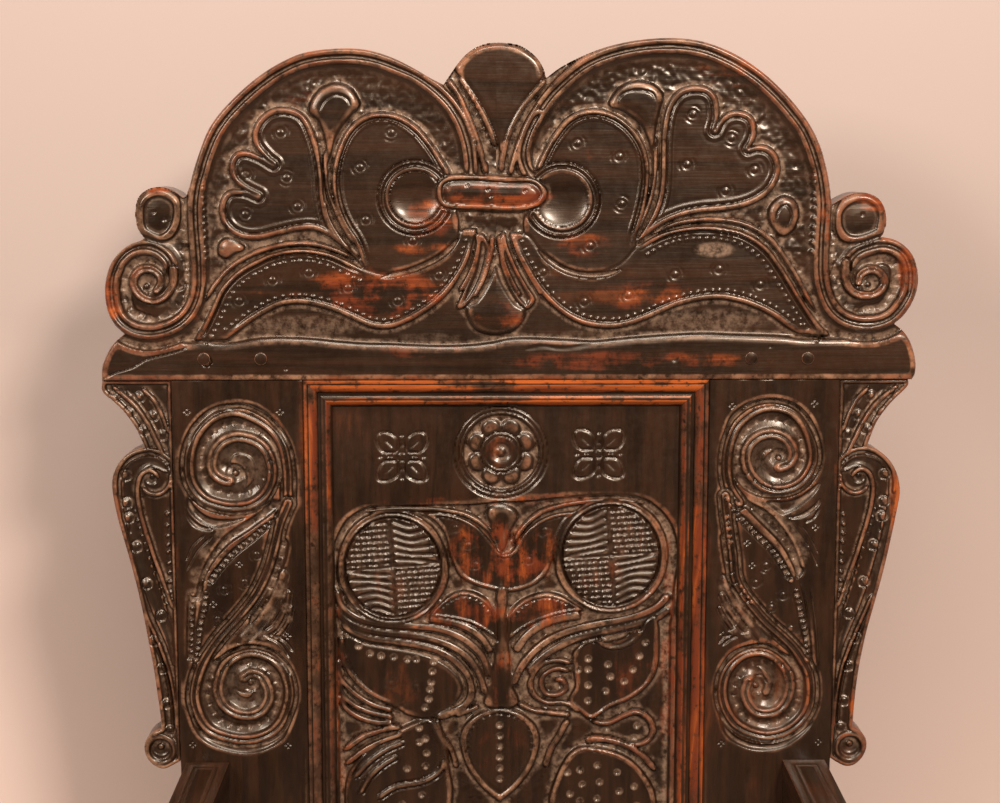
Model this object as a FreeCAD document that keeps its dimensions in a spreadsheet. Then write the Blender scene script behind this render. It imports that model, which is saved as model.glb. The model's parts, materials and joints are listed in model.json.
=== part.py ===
import FreeCAD, Part
import os
import re

import Sketcher

# Wainscot chair: a joined oak armchair with a raked, panelled back.
# The chair faces -Y and stands on Z = 0. Its middle plane is X = 0.
# Right-hand pieces (+X) are modelled and left-hand ones are their mirror images.

document = FreeCAD.newDocument("WainscotChair")
Vector = FreeCAD.Vector

# Driving sizes in millimetres, the rake in degrees
sizes = {
    # back, measured up the leaning posts from the seat
    "back_width": 520,
    "post_width": 102,
    "post_depth": 45,
    "back_rake": 6,
    "back_length": 548,
    # seat frame
    "seat_height": 430,
    "seat_board_thickness": 22,
    "front_leg_square": 56,
    "front_leg_spread": 540,
    "side_rail_run": 330,
    "rail_height": 80,
    "rail_thickness": 28,
    "rail_setback": 6,
    # stretchers
    "stretcher_level": 78,
    "stretcher_height": 45,
    "stretcher_thickness": 24,
    # joints: tenons, pegs and the clearance round them
    "fit": 0.1,
    "tenon_thickness": 10,
    "tenon_shoulder": 12,
    "across_tenon_length": 40,
    "along_tenon_length": 26,
    "peg_radius": 4.5,
    "peg_length": 34,
    "peg_stand": 1,
    "peg_from_shoulder": 16,
    "peg_spacing": 40,
    "side_peg_spacing": 20,
    "overrun": 5,
    # crest rail
    "crest_overhang": 59,
    "crest_rise": 263,
    "crest_thickness": 38,
    "crest_end_round": 5,
    "crest_tenon_width": 76,
    "crest_tenon_height": 42,
    "crest_peg_radius": 5,
    "crest_peg_spacing": 44,
    "crest_peg_level": 17,
    # lower back rail
    "lower_rail_gap": 35,
    "lower_rail_height": 85,
    "lower_rail_thickness": 32,
    # panel and its grooves
    "panel_setback": 13,
    "panel_thickness": 15,
    "panel_tongue": 9,
    "panel_tongue_thickness": 8,
    "groove_depth": 10,
    "moulding_width": 22,
    "moulding_depth": 12,
    # ears
    "ear_thickness": 28,
    "ear_setback": 4,
    "ear_below_arm": 6,
    "nail_radius": 2,
    "nail_head_radius": 4.5,
    "nail_head_thickness": 2.5,
    "ear_nail_depth": 30,
    # arms
    "arm_level": 241,
    "arm_back_width": 34,
    "arm_back_depth": 44,
    "arm_back_spread": 476,
    "arm_front_width": 58,
    "arm_front_depth": 34,
    "arm_nose": 42,
    "arm_fall": 24,
    "arm_tenon_thickness": 22,
    "arm_tenon_height": 30,
    "arm_tenon_length": 30,
    "arm_pin_radius": 12,
    "arm_pin_length": 24,
    # turned front legs
    "leg_block_margin": 10,
    "leg_block_rise": 10,
    # seat boards
    "seat_overhang": 14,
    "seat_board_gap": 0.4,
    "seat_edge_radius": 6,
    "seat_front_board": 150,
    "seat_middle_board": 140,
    "seat_back_reach": 30,
    "seat_peg_radius": 4,
    "seat_peg_length": 50,
    "seat_peg_across": 120,
    "seat_back_peg_across": 90,
}

# Places worked out from the sizes
places = {
    "crest_top": "back_length + crest_rise",
    "lean_back": "crest_top * sin(back_rake * 1deg) + crest_thickness * cos(back_rake * 1deg)",
    "reach_front": "side_rail_run + front_leg_square + arm_nose",
    "post_front": "(reach_front - lean_back) / 2",
    "post_back": "post_front + post_depth",
    "post_outer": "back_width / 2",
    "post_inner": "back_width / 2 - post_width",
    "leg_middle_x": "front_leg_spread / 2",
    "leg_outer": "leg_middle_x + front_leg_square / 2",
    "leg_inner": "leg_middle_x - front_leg_square / 2",
    "leg_back": "post_front - side_rail_run",
    "leg_front": "leg_back - front_leg_square",
    "leg_middle_y": "leg_back - front_leg_square / 2",
    "rail_top": "seat_height - seat_board_thickness",
    "rail_bottom": "rail_top - rail_height",
    "side_front_x": "leg_outer - rail_setback - rail_thickness / 2",
    "side_back_x": "post_outer - rail_setback - rail_thickness / 2",
    "splay": "(side_front_x - side_back_x) / side_rail_run",
    "block_bottom": "rail_bottom - leg_block_margin",
    "block_top": "seat_height + leg_block_rise",
    "low_block_bottom": "stretcher_level - leg_block_margin",
    "low_block_top": "stretcher_level + stretcher_height + leg_block_margin",
    "arm_root_y": "post_front + arm_level * sin(back_rake * 1deg)",
    "arm_root_z": "seat_height + arm_level * cos(back_rake * 1deg)",
    "arm_under": "arm_root_z - arm_fall - arm_front_depth",
    "arm_tip": "leg_front - arm_nose",
    "arm_back_x": "arm_back_spread / 2",
    "panel_bottom": "lower_rail_gap + lower_rail_height",
    "panel_height": "back_length - panel_bottom",
    "tongue_front": "panel_setback + (panel_thickness - panel_tongue_thickness) / 2",
    "crest_tenon_middle": "post_outer - post_width / 2 + tenon_shoulder / 4",
    "crest_length": "back_width + 2 * crest_overhang",
    "ear_reach": "crest_length / 2 - crest_end_round - post_outer",
    "ear_height": "back_length - arm_level + ear_below_arm",
    "seat_front": "leg_front - seat_overhang",
    "first_joint_y": "seat_front + seat_front_board",
    "second_joint_y": "first_joint_y + seat_middle_board",
}


def formula(text):
    """Rewrites plain size and place names as references to the two sheets."""
    def reference(match):
        word = match.group(0)
        if word in sizes:
            return "Sizes." + word
        if word in places:
            return "Places." + word
        return word
    return re.sub(r"[A-Za-z_]+", reference, str(text))


def make_sheet(name, cells):
    sheet = document.addObject("Spreadsheet::Sheet", name)
    for row, (alias, content) in enumerate(cells.items(), 1):
        sheet.set(f"A{row}", content)
        sheet.setAlias(f"A{row}", alias)
    return sheet


sizes_sheet = make_sheet("Sizes", {alias: str(size) for alias, size in sizes.items()})
document.recompute()
places_sheet = make_sheet("Places", {alias: "=" + formula(text) for alias, text in places.items()})
document.recompute()


def value(text):
    """The present number of a formula in size and place names."""
    return float(sizes_sheet.evalExpression(formula(text)))


def bind(item, **rules):
    """Binds properties to formulas. A double underscore stands for a dot."""
    for path, text in rules.items():
        item.setExpression(path.replace("__", "."), formula(text))


def move(item, start):
    bind(item, Placement__Base__x=start[0], Placement__Base__y=start[1], Placement__Base__z=start[2])
    return item


def box(name, start, size):
    item = document.addObject("Part::Box", name)
    bind(item, Length=size[0], Width=size[1], Height=size[2])
    return move(item, start)


def mortise(name, start, size):
    """A box grown by the fit on every side, to be cut away round a tenon."""
    looser = [f"({place}) - fit" for place in start]
    larger = [f"({extent}) + 2 * fit" for extent in size]
    return box(name, looser, larger)


AXIS_TURNS = {
    "x": FreeCAD.Rotation(Vector(0, 0, 1), Vector(1, 0, 0)),
    "y": FreeCAD.Rotation(Vector(0, 0, 1), Vector(0, 1, 0)),
    "z": FreeCAD.Rotation(),
}


def rod(name, start, radius, length, axis):
    """A round bar that runs from its start along +X, +Y or +Z."""
    item = document.addObject("Part::Cylinder", name)
    item.Placement = FreeCAD.Placement(Vector(), AXIS_TURNS[axis])
    bind(item, Radius=radius, Height=length)
    return move(item, start)


peg_sides = 8


def peg(name, start, radius, length, axis):
    """A riven peg or a wrought nail, worked to flat sides, or the hole that it fills, grown by the fit."""
    item = document.addObject("Part::Prism", name)
    item.Polygon = peg_sides
    item.Placement = FreeCAD.Placement(Vector(), AXIS_TURNS[axis])
    bind(item, Circumradius=radius, Height=length)
    return move(item, start)


def outline_sketch(body, name, plane, outline):
    """A closed sketch. Each corner is (first, second), or (first, second, (first, second)) where
    the side that ends there is an arc through the point given last."""
    sketch = body.newObject("Sketcher::SketchObject", name)
    support = [item for item in body.Origin.OriginFeatures if item.Role == plane][0]
    sketch.AttachmentSupport = [(support, "")]
    sketch.MapMode = "FlatFace"

    def spot(pair):
        return Vector(value(pair[0]), value(pair[1]), 0)

    def hold(geometry, end, pair):
        kinds = ("DistanceX", "DistanceY")
        for kind, text, number in zip(kinds, pair, spot(pair)):
            index = sketch.addConstraint(Sketcher.Constraint(kind, geometry, end, number))
            sketch.setExpression(f"Constraints[{index}]", formula(text))

    sides = []
    for index, corner in enumerate(outline):
        before = outline[index - 1]
        first, last = spot(before), spot(corner)
        if len(corner) == 3:
            middle = spot(corner[2])
            side = sketch.addGeometry(Part.Arc(first, middle, last), False)
            away = [sketch.getPoint(side, end).distanceToPoint(first) for end in (1, 2)]
            forward = away[0] < away[1]
            sides.append((side, 1 if forward else 2, 2 if forward else 1))
            through = sketch.addGeometry(Part.Point(middle), True)
            sketch.addConstraint(Sketcher.Constraint("PointOnObject", through, 1, side))
            hold(through, 1, corner[2])
        else:
            side = sketch.addGeometry(Part.LineSegment(first, last), False)
            sides.append((side, 1, 2))
    for index, (side, start, end) in enumerate(sides):
        after = sides[(index + 1) % len(sides)]
        sketch.addConstraint(Sketcher.Constraint("Coincident", side, end, after[0], after[1]))
    for (side, start, end), corner in zip(sides, outline):
        hold(side, end, corner[:2])
    return sketch


def prism(name, plane, outline, start, length, midplane=False):
    """A body with one closed outline on one of its planes, padded along that plane's normal."""
    body = document.addObject("PartDesign::Body", name)
    sketch = outline_sketch(body, name + "_outline", plane, outline)
    pad = body.newObject("PartDesign::Pad", name + "_pad")
    pad.Profile = sketch
    pad.Midplane = midplane
    bind(pad, Length=length)
    sketch.Visibility = False
    return move(body, start)


def fuse(name, *items):
    result = document.addObject("Part::MultiFuse", name)
    result.Shapes = list(items)
    result.Refine = True
    return result


def cut(name, base, *tools):
    tool = tools[0] if len(tools) == 1 else fuse(name + "_tools", *tools)
    result = document.addObject("Part::Cut", name)
    result.Base = base
    result.Tool = tool
    result.Refine = True
    return result


def common(name, *items):
    result = document.addObject("Part::MultiCommon", name)
    result.Shapes = list(items)
    result.Refine = True
    return result


def raked(item):
    """Leans an item of the upright back frame, whose origin is the bend at the posts' front faces."""
    item.Placement = FreeCAD.Placement(Vector(), FreeCAD.Rotation(Vector(1, 0, 0), 1))
    bind(item, Placement__Rotation__Angle="-back_rake")
    return move(item, (0, "post_front", "seat_height"))


def mirrored(name, item):
    result = document.addObject("Part::Mirroring", name)
    result.Source = item
    result.Base = Vector(0, 0, 0)
    result.Normal = Vector(1, 0, 0)
    return result


def group(name, *items):
    """Like fasteners that stay separate solids under one name."""
    result = document.addObject("Part::Compound", name)
    result.Links = list(items)
    return result


pieces = {}


def keep(name, item):
    item.Label = name
    pieces[name] = item
    return item


def keep_pair(name, item):
    keep("right_" + name, item)
    keep("left_" + name, mirrored("left_" + name, item))


def keep_both_sides(name, item):
    keep(name, group(name, item, mirrored(name + "_left", item)))


# Joints of the leaning back, in the upright back frame: X across, Y to the back, Z up the post.

TENON_FRONT = "tongue_front + panel_tongue_thickness / 2 - tenon_thickness / 2"


def crest_tenon(maker, name, extra="0"):
    return maker(
        name,
        ("crest_tenon_middle - crest_tenon_width / 2", TENON_FRONT, "back_length"),
        ("crest_tenon_width", "tenon_thickness", f"crest_tenon_height + {extra}"),
    )


def lower_rail_tenon(maker, name):
    return maker(
        name,
        ("post_inner", TENON_FRONT, "lower_rail_gap + tenon_shoulder"),
        ("across_tenon_length", "tenon_thickness", "lower_rail_height - 2 * tenon_shoulder"),
    )


def arm_tenon(maker, name):
    return maker(
        name,
        ("arm_back_x - arm_tenon_thickness / 2", 0, "arm_level - arm_back_depth / 2 - arm_tenon_height / 2"),
        ("arm_tenon_thickness", "arm_tenon_length", "arm_tenon_height"),
    )


CREST_PEG_X = [f"crest_tenon_middle {sign} crest_peg_spacing / 2" for sign in "-+"]
LOWER_PEG_Z = [f"lower_rail_gap + lower_rail_height / 2 {sign} peg_spacing / 2" for sign in "-+"]


def crest_peg_rods(name, extra):
    return [
        peg(f"{name}_{index}", (place, "-peg_stand", "back_length + crest_peg_level"),
            f"crest_peg_radius + {extra}", "peg_length", "y")
        for index, place in enumerate(CREST_PEG_X)
    ]


def lower_peg_rods(name, extra):
    return [
        peg(f"{name}_{index}", ("post_inner + peg_from_shoulder", "-peg_stand", place),
            f"peg_radius + {extra}", "peg_length", "y")
        for index, place in enumerate(LOWER_PEG_Z)
    ]


def arm_tenon_peg(name, extra):
    return peg(name, ("post_outer + peg_stand - peg_length", "arm_tenon_length / 2",
                      "arm_level - arm_back_depth / 2"), f"peg_radius + {extra}", "peg_length", "x")


ear_nail_level_shares = {"upper": 0.327, "lower": 0.745}
ear_nail_sink_shares = {"upper": 0.70, "lower": 0.26}


def ear_nail_level(row):
    return f"back_length - ear_height * {ear_nail_level_shares[row]}"


def ear_nail_sink(row):
    return f"ear_reach * {ear_nail_sink_shares[row]}"


def ear_nail_rods(name, extra):
    """Shank and sunk head of each nail, driven in through the ear's outer edge."""
    rods = []
    for row in ear_nail_level_shares:
        level = ear_nail_level(row)
        head = f"post_outer + {ear_nail_sink(row)}"
        shank = peg(f"{name}_{row}_shank", ("post_outer - ear_nail_depth", "ear_setback + ear_thickness / 2", level),
                    f"nail_radius + {extra}", f"ear_nail_depth + {ear_nail_sink(row)}", "x")
        top = peg(f"{name}_{row}_head", (head, "ear_setback + ear_thickness / 2", level),
                  f"nail_head_radius + {extra}", "nail_head_thickness", "x")
        rods.append((shank, top))
    return rods


# Joints of the seat frame and the stretchers, in the chair's frame

def across_tenon(maker, name, edge, front, bottom, height, shoulder):
    """A tenon that runs along X into a leg or post from its inner edge."""
    return maker(
        name,
        (edge, front, f"{bottom} + {shoulder}"),
        ("across_tenon_length", "tenon_thickness", f"{height} - 2 * ({shoulder})"),
    )


def side_strip(name, half, start_y, end_y, bottom, height):
    """A bar along the splayed side of the seat, with ends square to Y."""
    def x_at(place, sign):
        return f"side_back_x + splay * (post_front - ({place})) {sign} ({half})"
    outline = [
        (x_at(start_y, "-"), start_y),
        (x_at(start_y, "+"), start_y),
        (x_at(end_y, "+"), end_y),
        (x_at(end_y, "-"), end_y),
    ]
    return prism(name, "XY_Plane", outline, (0, 0, bottom), height)


def side_tenons(name, bottom, height, shoulder, extra="0"):
    return side_strip(
        name, f"tenon_thickness / 2 + {extra}",
        f"leg_back - along_tenon_length - {extra}", f"post_front + along_tenon_length + {extra}",
        f"{bottom} + {shoulder} - {extra}", f"{height} - 2 * ({shoulder}) + 2 * ({extra})",
    )


RAIL = ("rail_bottom", "rail_height", "tenon_shoulder")
STRETCHER = ("stretcher_level", "stretcher_height", "tenon_shoulder / 2")
FRONT_TENON_Y = "leg_front + rail_setback + rail_thickness / 2 - tenon_thickness / 2"
BACK_TENON_Y = "post_front + post_depth / 2 - tenon_thickness / 2"


def across_pegs(name, face, extra, levels, x_place, toward):
    """Pegs along Y, driven into a leg's front face or a post's back face."""
    start = f"({face}) - peg_stand" if toward == "back" else f"({face}) + peg_stand - peg_length"
    return [
        peg(f"{name}_{index}", (x_place, start, level), f"peg_radius + {extra}", "peg_length", "y")
        for index, level in enumerate(levels)
    ]


def side_pegs(name, outer, extra, levels, y_place):
    """Pegs along X, driven into the outer face of a leg or post."""
    return [
        peg(f"{name}_{index}", (f"({outer}) + peg_stand - peg_length", y_place, level),
            f"peg_radius + {extra}", "peg_length", "x")
        for index, level in enumerate(levels)
    ]


RAIL_MIDDLE = "rail_bottom + rail_height / 2"
STRETCHER_MIDDLE = "stretcher_level + stretcher_height / 2"
RAIL_LEVELS = [f"{RAIL_MIDDLE} {sign} peg_spacing / 2" for sign in "-+"]
SIDE_LEVELS = [f"{RAIL_MIDDLE} {sign} side_peg_spacing / 2" for sign in "-+"]
LEG_PEG_X = "leg_inner + peg_from_shoulder"
POST_PEG_X = "post_inner + peg_from_shoulder"
LEG_PEG_Y = "leg_back - along_tenon_length / 2"
POST_PEG_Y = "post_front + along_tenon_length / 2"


def front_rail_pegs(name, extra):
    return across_pegs(name, "leg_front", extra, RAIL_LEVELS, LEG_PEG_X, "back")


def back_rail_pegs(name, extra):
    return across_pegs(name, "post_back", extra, RAIL_LEVELS, POST_PEG_X, "front")


def side_rail_leg_pegs(name, extra):
    return side_pegs(name, "leg_outer", extra, SIDE_LEVELS, LEG_PEG_Y)


def side_rail_post_pegs(name, extra):
    return side_pegs(name, "post_outer", extra, SIDE_LEVELS, POST_PEG_Y)


def front_stretcher_peg(name, extra):
    return across_pegs(name, "leg_front", extra, [STRETCHER_MIDDLE], LEG_PEG_X, "back")


def back_stretcher_peg(name, extra):
    return across_pegs(name, "post_back", extra, [STRETCHER_MIDDLE], POST_PEG_X, "front")


def side_stretcher_leg_peg(name, extra):
    return side_pegs(name, "leg_outer", extra, [STRETCHER_MIDDLE], LEG_PEG_Y)


def side_stretcher_post_peg(name, extra):
    return side_pegs(name, "post_outer", extra, [STRETCHER_MIDDLE], POST_PEG_Y)


# Back posts: one piece each, upright to the seat and leaning above it, with a tenon for the crest
side_view = [
    ("post_front", 0),
    ("post_back", 0),
    ("post_back", "seat_height - post_depth * tan(back_rake * 0.5deg)"),
    ("post_front + back_length * sin(back_rake * 1deg) + post_depth * cos(back_rake * 1deg)",
     "seat_height + back_length * cos(back_rake * 1deg) - post_depth * sin(back_rake * 1deg)"),
    ("post_front + back_length * sin(back_rake * 1deg)", "seat_height + back_length * cos(back_rake * 1deg)"),
    ("post_front", "seat_height"),
]
post_blank = prism("post_blank", "YZ_Plane", side_view, ("post_inner", 0, 0), "post_width")
post_tenon = raked(group("post_tenon", crest_tenon(box, "post_top_tenon")))
post_groove = box(
    "post_groove",
    ("post_inner - overrun", "tongue_front - fit", "panel_bottom - groove_depth"),
    ("overrun + groove_depth", "panel_tongue_thickness + 2 * fit", "panel_height + groove_depth"),
)
post_back_cuts = raked(fuse(
    "post_back_cuts", post_groove,
    lower_rail_tenon(mortise, "post_lower_mortise"), arm_tenon(mortise, "post_arm_mortise"),
    *crest_peg_rods("post_crest_hole", "fit"), *lower_peg_rods("post_lower_hole", "fit"),
    arm_tenon_peg("post_arm_hole", "fit"), *[shank for shank, top in ear_nail_rods("post_nail_hole", "fit")],
))
right_post = cut(
    "right_back_post", fuse("post_with_tenon", post_blank, post_tenon), post_back_cuts,
    across_tenon(mortise, "post_rail_mortise", "post_inner", BACK_TENON_Y, *RAIL),
    across_tenon(mortise, "post_stretcher_mortise", "post_inner", BACK_TENON_Y, *STRETCHER),
    side_tenons("post_side_mortise", *RAIL, "fit"),
    side_tenons("post_low_mortise", *STRETCHER, "fit"),
    *back_rail_pegs("post_rail_hole", "fit"), *side_rail_post_pegs("post_side_hole", "fit"),
    *back_stretcher_peg("post_low_hole", "fit"), *side_stretcher_post_peg("post_low_side_hole", "fit"),
)
keep_pair("back_post", right_post)

# Crest rail: two arches, a finial between them, a small leaf and a scroll at each end.
# Half outline from the finial to the lower corner, as shares of the half length and of the rise.
crest_arc_shares = [
    # end across, end up, middle across, middle up
    ((0.389, 1.000), (0.251, 0.960)),
    ((0.781, 0.532), (0.665, 0.860)),
    ((0.897, 0.411), (0.887, 0.536)),
    ((0.950, 0.156), (0.994, 0.281)),
    ((1.000, 0.038), (0.981, 0.106)),
]
finial_foot_share = (0.110, 0.875)
finial_top_share = (0, 0.985)
crest_end_middle_share = 0.3


def crest_spot(share):
    return Vector(value("crest_length") / 2 * share[0], 0, value("back_length") + value("crest_rise") * share[1])


def flipped(spot):
    return Vector(-spot.x, spot.y, spot.z)


def crest_outline():
    top = crest_spot(finial_top_share)
    right_foot = crest_spot(finial_foot_share)
    edges = [Part.Arc(flipped(right_foot), top, right_foot).toShape()]
    last = right_foot
    for end_share, middle_share in crest_arc_shares:
        end, middle = crest_spot(end_share), crest_spot(middle_share)
        edges.append(Part.Arc(last, middle, end).toShape())
        edges.append(Part.Arc(flipped(last), flipped(middle), flipped(end)).toShape())
        last = end
    corner = crest_spot((1, 0)) - Vector(value("crest_end_round"), 0, 0)
    bulge = Vector(value("crest_end_round"), 0, 0) * crest_end_middle_share
    turn = (last + corner) / 2 + bulge
    edges.append(Part.Arc(last, turn, corner).toShape())
    edges.append(Part.Arc(flipped(last), flipped(turn), flipped(corner)).toShape())
    edges.append(Part.makeLine(corner, flipped(corner)))
    return Part.Wire(Part.__sortEdges__(edges))


crest_blank = document.addObject("Part::Feature", "crest_blank")
crest_blank.Shape = Part.Face(crest_outline()).extrude(Vector(0, value("crest_thickness"), 0))
crest_mortise = crest_tenon(mortise, "crest_mortise", "fit")
crest_holes = crest_peg_rods("crest_hole", "fit")
crest_groove = box(
    "crest_groove",
    ("-post_inner - groove_depth", "tongue_front - fit", "back_length - overrun"),
    ("2 * (post_inner + groove_depth)", "panel_tongue_thickness + 2 * fit", "overrun + groove_depth"),
)
crest_rail = cut(
    "crest_rail", crest_blank, crest_groove,
    crest_mortise, mirrored("crest_mortise_left", crest_mortise), *crest_holes,
    *[mirrored(f"crest_hole_left_{index}", item) for index, item in enumerate(crest_holes)],
)
keep("crest_rail", raked(crest_rail))

# Ears: scrolled boards under the crest's ends. Outline below the crest as shares of reach and height.
ear_arc_shares = [
    # end out, end down, middle out, middle down
    ((0.407, 0.163), (0.593, 0.096)),
    ((0.889, 0.272), (0.741, 0.192)),
    ((0.556, 0.559), (0.796, 0.415)),
    ((0.315, 0.891), (0.389, 0.719)),
    ((0.148, 1.000), (0.556, 0.958)),
]
ear_lip_share = (1, 0.019)
ear_foot_share = (0, 0.987)


def ear_outline():
    def spot(share):
        return Vector(value("post_outer + ear_reach * %s" % share[0]), value("ear_setback"),
                      value("back_length - ear_height * %s" % share[1]))
    inner_top, outer_top, lip, foot = spot((0, 0)), spot((1, 0)), spot(ear_lip_share), spot(ear_foot_share)
    edges = [Part.makeLine(inner_top, outer_top), Part.makeLine(outer_top, lip)]
    last = lip
    for end_share, middle_share in ear_arc_shares:
        end = spot(end_share)
        edges.append(Part.Arc(last, spot(middle_share), end).toShape())
        last = end
    edges.append(Part.makeLine(last, foot))
    edges.append(Part.makeLine(foot, inner_top))
    return Part.Wire(edges)


ear_blank = document.addObject("Part::Feature", "ear_blank")
ear_blank.Shape = Part.Face(ear_outline()).extrude(Vector(0, value("ear_thickness"), 0))
ear_cuts = [shank for shank, top in ear_nail_rods("ear_hole", "fit")]
ear_cuts += [
    peg(f"ear_sink_{row}", (f"post_outer + {ear_nail_sink(row)}", "ear_setback + ear_thickness / 2",
        ear_nail_level(row)), "nail_head_radius + fit", "ear_reach", "x")
    for row in ear_nail_level_shares
]
keep_pair("ear", raked(cut("right_ear", ear_blank, *ear_cuts)))
nails = [fuse(f"ear_nail_{index}", *pair) for index, pair in enumerate(ear_nail_rods("ear_nail_rod", "0"))]
keep_both_sides("ear_nails", raked(group("right_ear_nails", *nails)))

# Back panel: a board with thinner tongues all round, held in the grooves
panel_field = box("panel_field", ("-post_inner", "panel_setback", "panel_bottom"),
                  ("2 * post_inner", "panel_thickness", "panel_height"))
panel_tongues = box(
    "panel_tongues",
    ("-post_inner - panel_tongue", "tongue_front", "panel_bottom - panel_tongue"),
    ("2 * (post_inner + panel_tongue)", "panel_tongue_thickness", "panel_height + 2 * panel_tongue"),
)
keep("back_panel", raked(fuse("back_panel", panel_field, panel_tongues)))

# Mouldings: four strips with one profile, mitred where they meet.
# Profile as shares of the strip's width and depth, from its outer edge; depth 0 is its face.
moulding_profile_shares = [
    ((0, 1), None),
    ((0, 0), None),
    ((0.14, 0), None),
    ((0.50, 0.42), (0.39, 0.12)),
    ((0.50, 0.60), None),
    ((0.59, 0.60), None),
    ((0.59, 0.42), None),
    ((0.80, 0.42), None),
    ((1, 0.82), (0.96, 0.56)),
    ((1, 1), None),
]


def moulding(name, run, turn, start):
    """A strip along X with its outer edge up, turned about Y to its side of the panel."""
    def corner(share):
        return f"panel_setback - moulding_depth * (1 - {share[1]})", f"-moulding_width * {share[0]}"
    profile = [corner(end) + ((corner(middle),) if middle else ()) for end, middle in moulding_profile_shares]
    bar = prism(name + "_bar", "YZ_Plane", profile, (0, 0, 0), run, midplane=True)
    front_view = [
        (f"-({run}) / 2", 0),
        (f"({run}) / 2", 0),
        (f"({run}) / 2 - moulding_width", "-moulding_width"),
        (f"-({run}) / 2 + moulding_width", "-moulding_width"),
    ]
    mitres = prism(name + "_mitres", "XZ_Plane", front_view, (0, 0, 0), "4 * panel_setback", midplane=True)
    for item in (bar, mitres):
        item.Placement = FreeCAD.Placement(Vector(), FreeCAD.Rotation(Vector(0, 1, 0), turn))
        move(item, start)
    return keep(name, raked(common(name, bar, mitres)))


MOULDING_MIDDLE = "panel_bottom + panel_height / 2"
moulding("panel_moulding_top", "2 * post_inner", 0, (0, 0, "back_length"))
moulding("panel_moulding_right", "panel_height", 90, ("post_inner", 0, MOULDING_MIDDLE))
moulding("panel_moulding_bottom", "2 * post_inner", 180, (0, 0, "panel_bottom"))
moulding("panel_moulding_left", "panel_height", 270, ("-post_inner", 0, MOULDING_MIDDLE))

# Lower back rail, grooved along its top edge for the panel
lower_bar = box("lower_bar", ("-post_inner", 0, "lower_rail_gap"),
                ("2 * post_inner", "lower_rail_thickness", "lower_rail_height"))
lower_tenon = lower_rail_tenon(box, "lower_tenon")
lower_holes = lower_peg_rods("lower_hole", "fit")
lower_groove = box(
    "lower_groove",
    ("-post_inner - groove_depth", "tongue_front - fit", "panel_bottom - groove_depth"),
    ("2 * (post_inner + groove_depth)", "panel_tongue_thickness + 2 * fit", "groove_depth + overrun"),
)
lower_rail = cut(
    "lower_back_rail", fuse("lower_rail_blank", lower_bar, lower_tenon, mirrored("lower_tenon_left", lower_tenon)),
    lower_groove, *lower_holes,
    *[mirrored(f"lower_hole_left_{index}", item) for index, item in enumerate(lower_holes)],
)
keep("lower_back_rail", raked(lower_rail))

# Seat rails and stretchers across the chair, with a tenon and its peg holes at each end


def across_bar(name, edge, front, thickness, tenon_front, bottom, height, shoulder, holes):
    bar = box(name + "_bar", (f"-({edge})", front, bottom), (f"2 * ({edge})", thickness, height))
    tenon = across_tenon(box, name + "_tenon", edge, tenon_front, bottom, height, shoulder)
    blank = fuse(name + "_blank", bar, tenon, mirrored(name + "_tenon_left", tenon))
    others = [mirrored(f"{name}_hole_left_{index}", item) for index, item in enumerate(holes)]
    return keep(name, cut(name, blank, *holes, *others))


def cross_seat_rod(name, x_place, y_place, extra):
    """An upright peg through a seat board into the front or back seat rail."""
    return peg(name, (x_place, y_place, "seat_height - seat_peg_length"), f"seat_peg_radius + {extra}",
               "seat_peg_length", "z")


def front_seat_rod(name, extra):
    return cross_seat_rod(name, "seat_peg_across", f"{FRONT_RAIL_Y} + rail_thickness / 2", extra)


def back_seat_rod(name, extra):
    return cross_seat_rod(name, "seat_back_peg_across", f"{BACK_RAIL_Y} + rail_thickness / 2", extra)


FRONT_RAIL_Y = "leg_front + rail_setback"
BACK_RAIL_Y = "post_front + post_depth / 2 - rail_thickness / 2"
across_bar(
    "front_seat_rail", "leg_inner", FRONT_RAIL_Y, "rail_thickness", FRONT_TENON_Y, *RAIL,
    front_rail_pegs("front_rail_hole", "fit") + [front_seat_rod("front_rail_seat_hole", "fit")],
)
across_bar(
    "back_seat_rail", "post_inner", BACK_RAIL_Y, "rail_thickness", BACK_TENON_Y, *RAIL,
    back_rail_pegs("back_rail_hole", "fit") + [back_seat_rod("back_rail_seat_hole", "fit")],
)
across_bar(
    "front_stretcher", "leg_inner", f"{FRONT_TENON_Y} + tenon_thickness / 2 - stretcher_thickness / 2",
    "stretcher_thickness", FRONT_TENON_Y, *STRETCHER, front_stretcher_peg("front_stretcher_hole", "fit"),
)
across_bar(
    "back_stretcher", "post_inner", f"{BACK_TENON_Y} + tenon_thickness / 2 - stretcher_thickness / 2",
    "stretcher_thickness", BACK_TENON_Y, *STRETCHER, back_stretcher_peg("back_stretcher_hole", "fit"),
)

# Side rails and stretchers follow the splay of the seat
SEAT_SIDE_Y = [
    "(seat_front + first_joint_y + front_leg_square) / 2",
    "(first_joint_y + second_joint_y) / 2",
    "(second_joint_y + post_front) / 2",
]


def side_seat_rods(name, extra):
    """Upright pegs through the seat boards into the right side rail."""
    return [
        peg(f"{name}_{index}", (f"side_back_x + splay * (post_front - {place})", place,
            f"seat_height - seat_peg_length"), f"seat_peg_radius + {extra}", "seat_peg_length", "z")
        for index, place in enumerate(SEAT_SIDE_Y)
    ]


def side_bar(name, thickness, bottom, height, shoulder, holes):
    bar = side_strip(name + "_bar", f"{thickness} / 2", "leg_back", "post_front", bottom, height)
    blank = fuse(name + "_blank", bar, side_tenons(name + "_tenons", bottom, height, shoulder))
    keep_pair(name, cut("right_" + name, blank, *holes))


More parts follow.
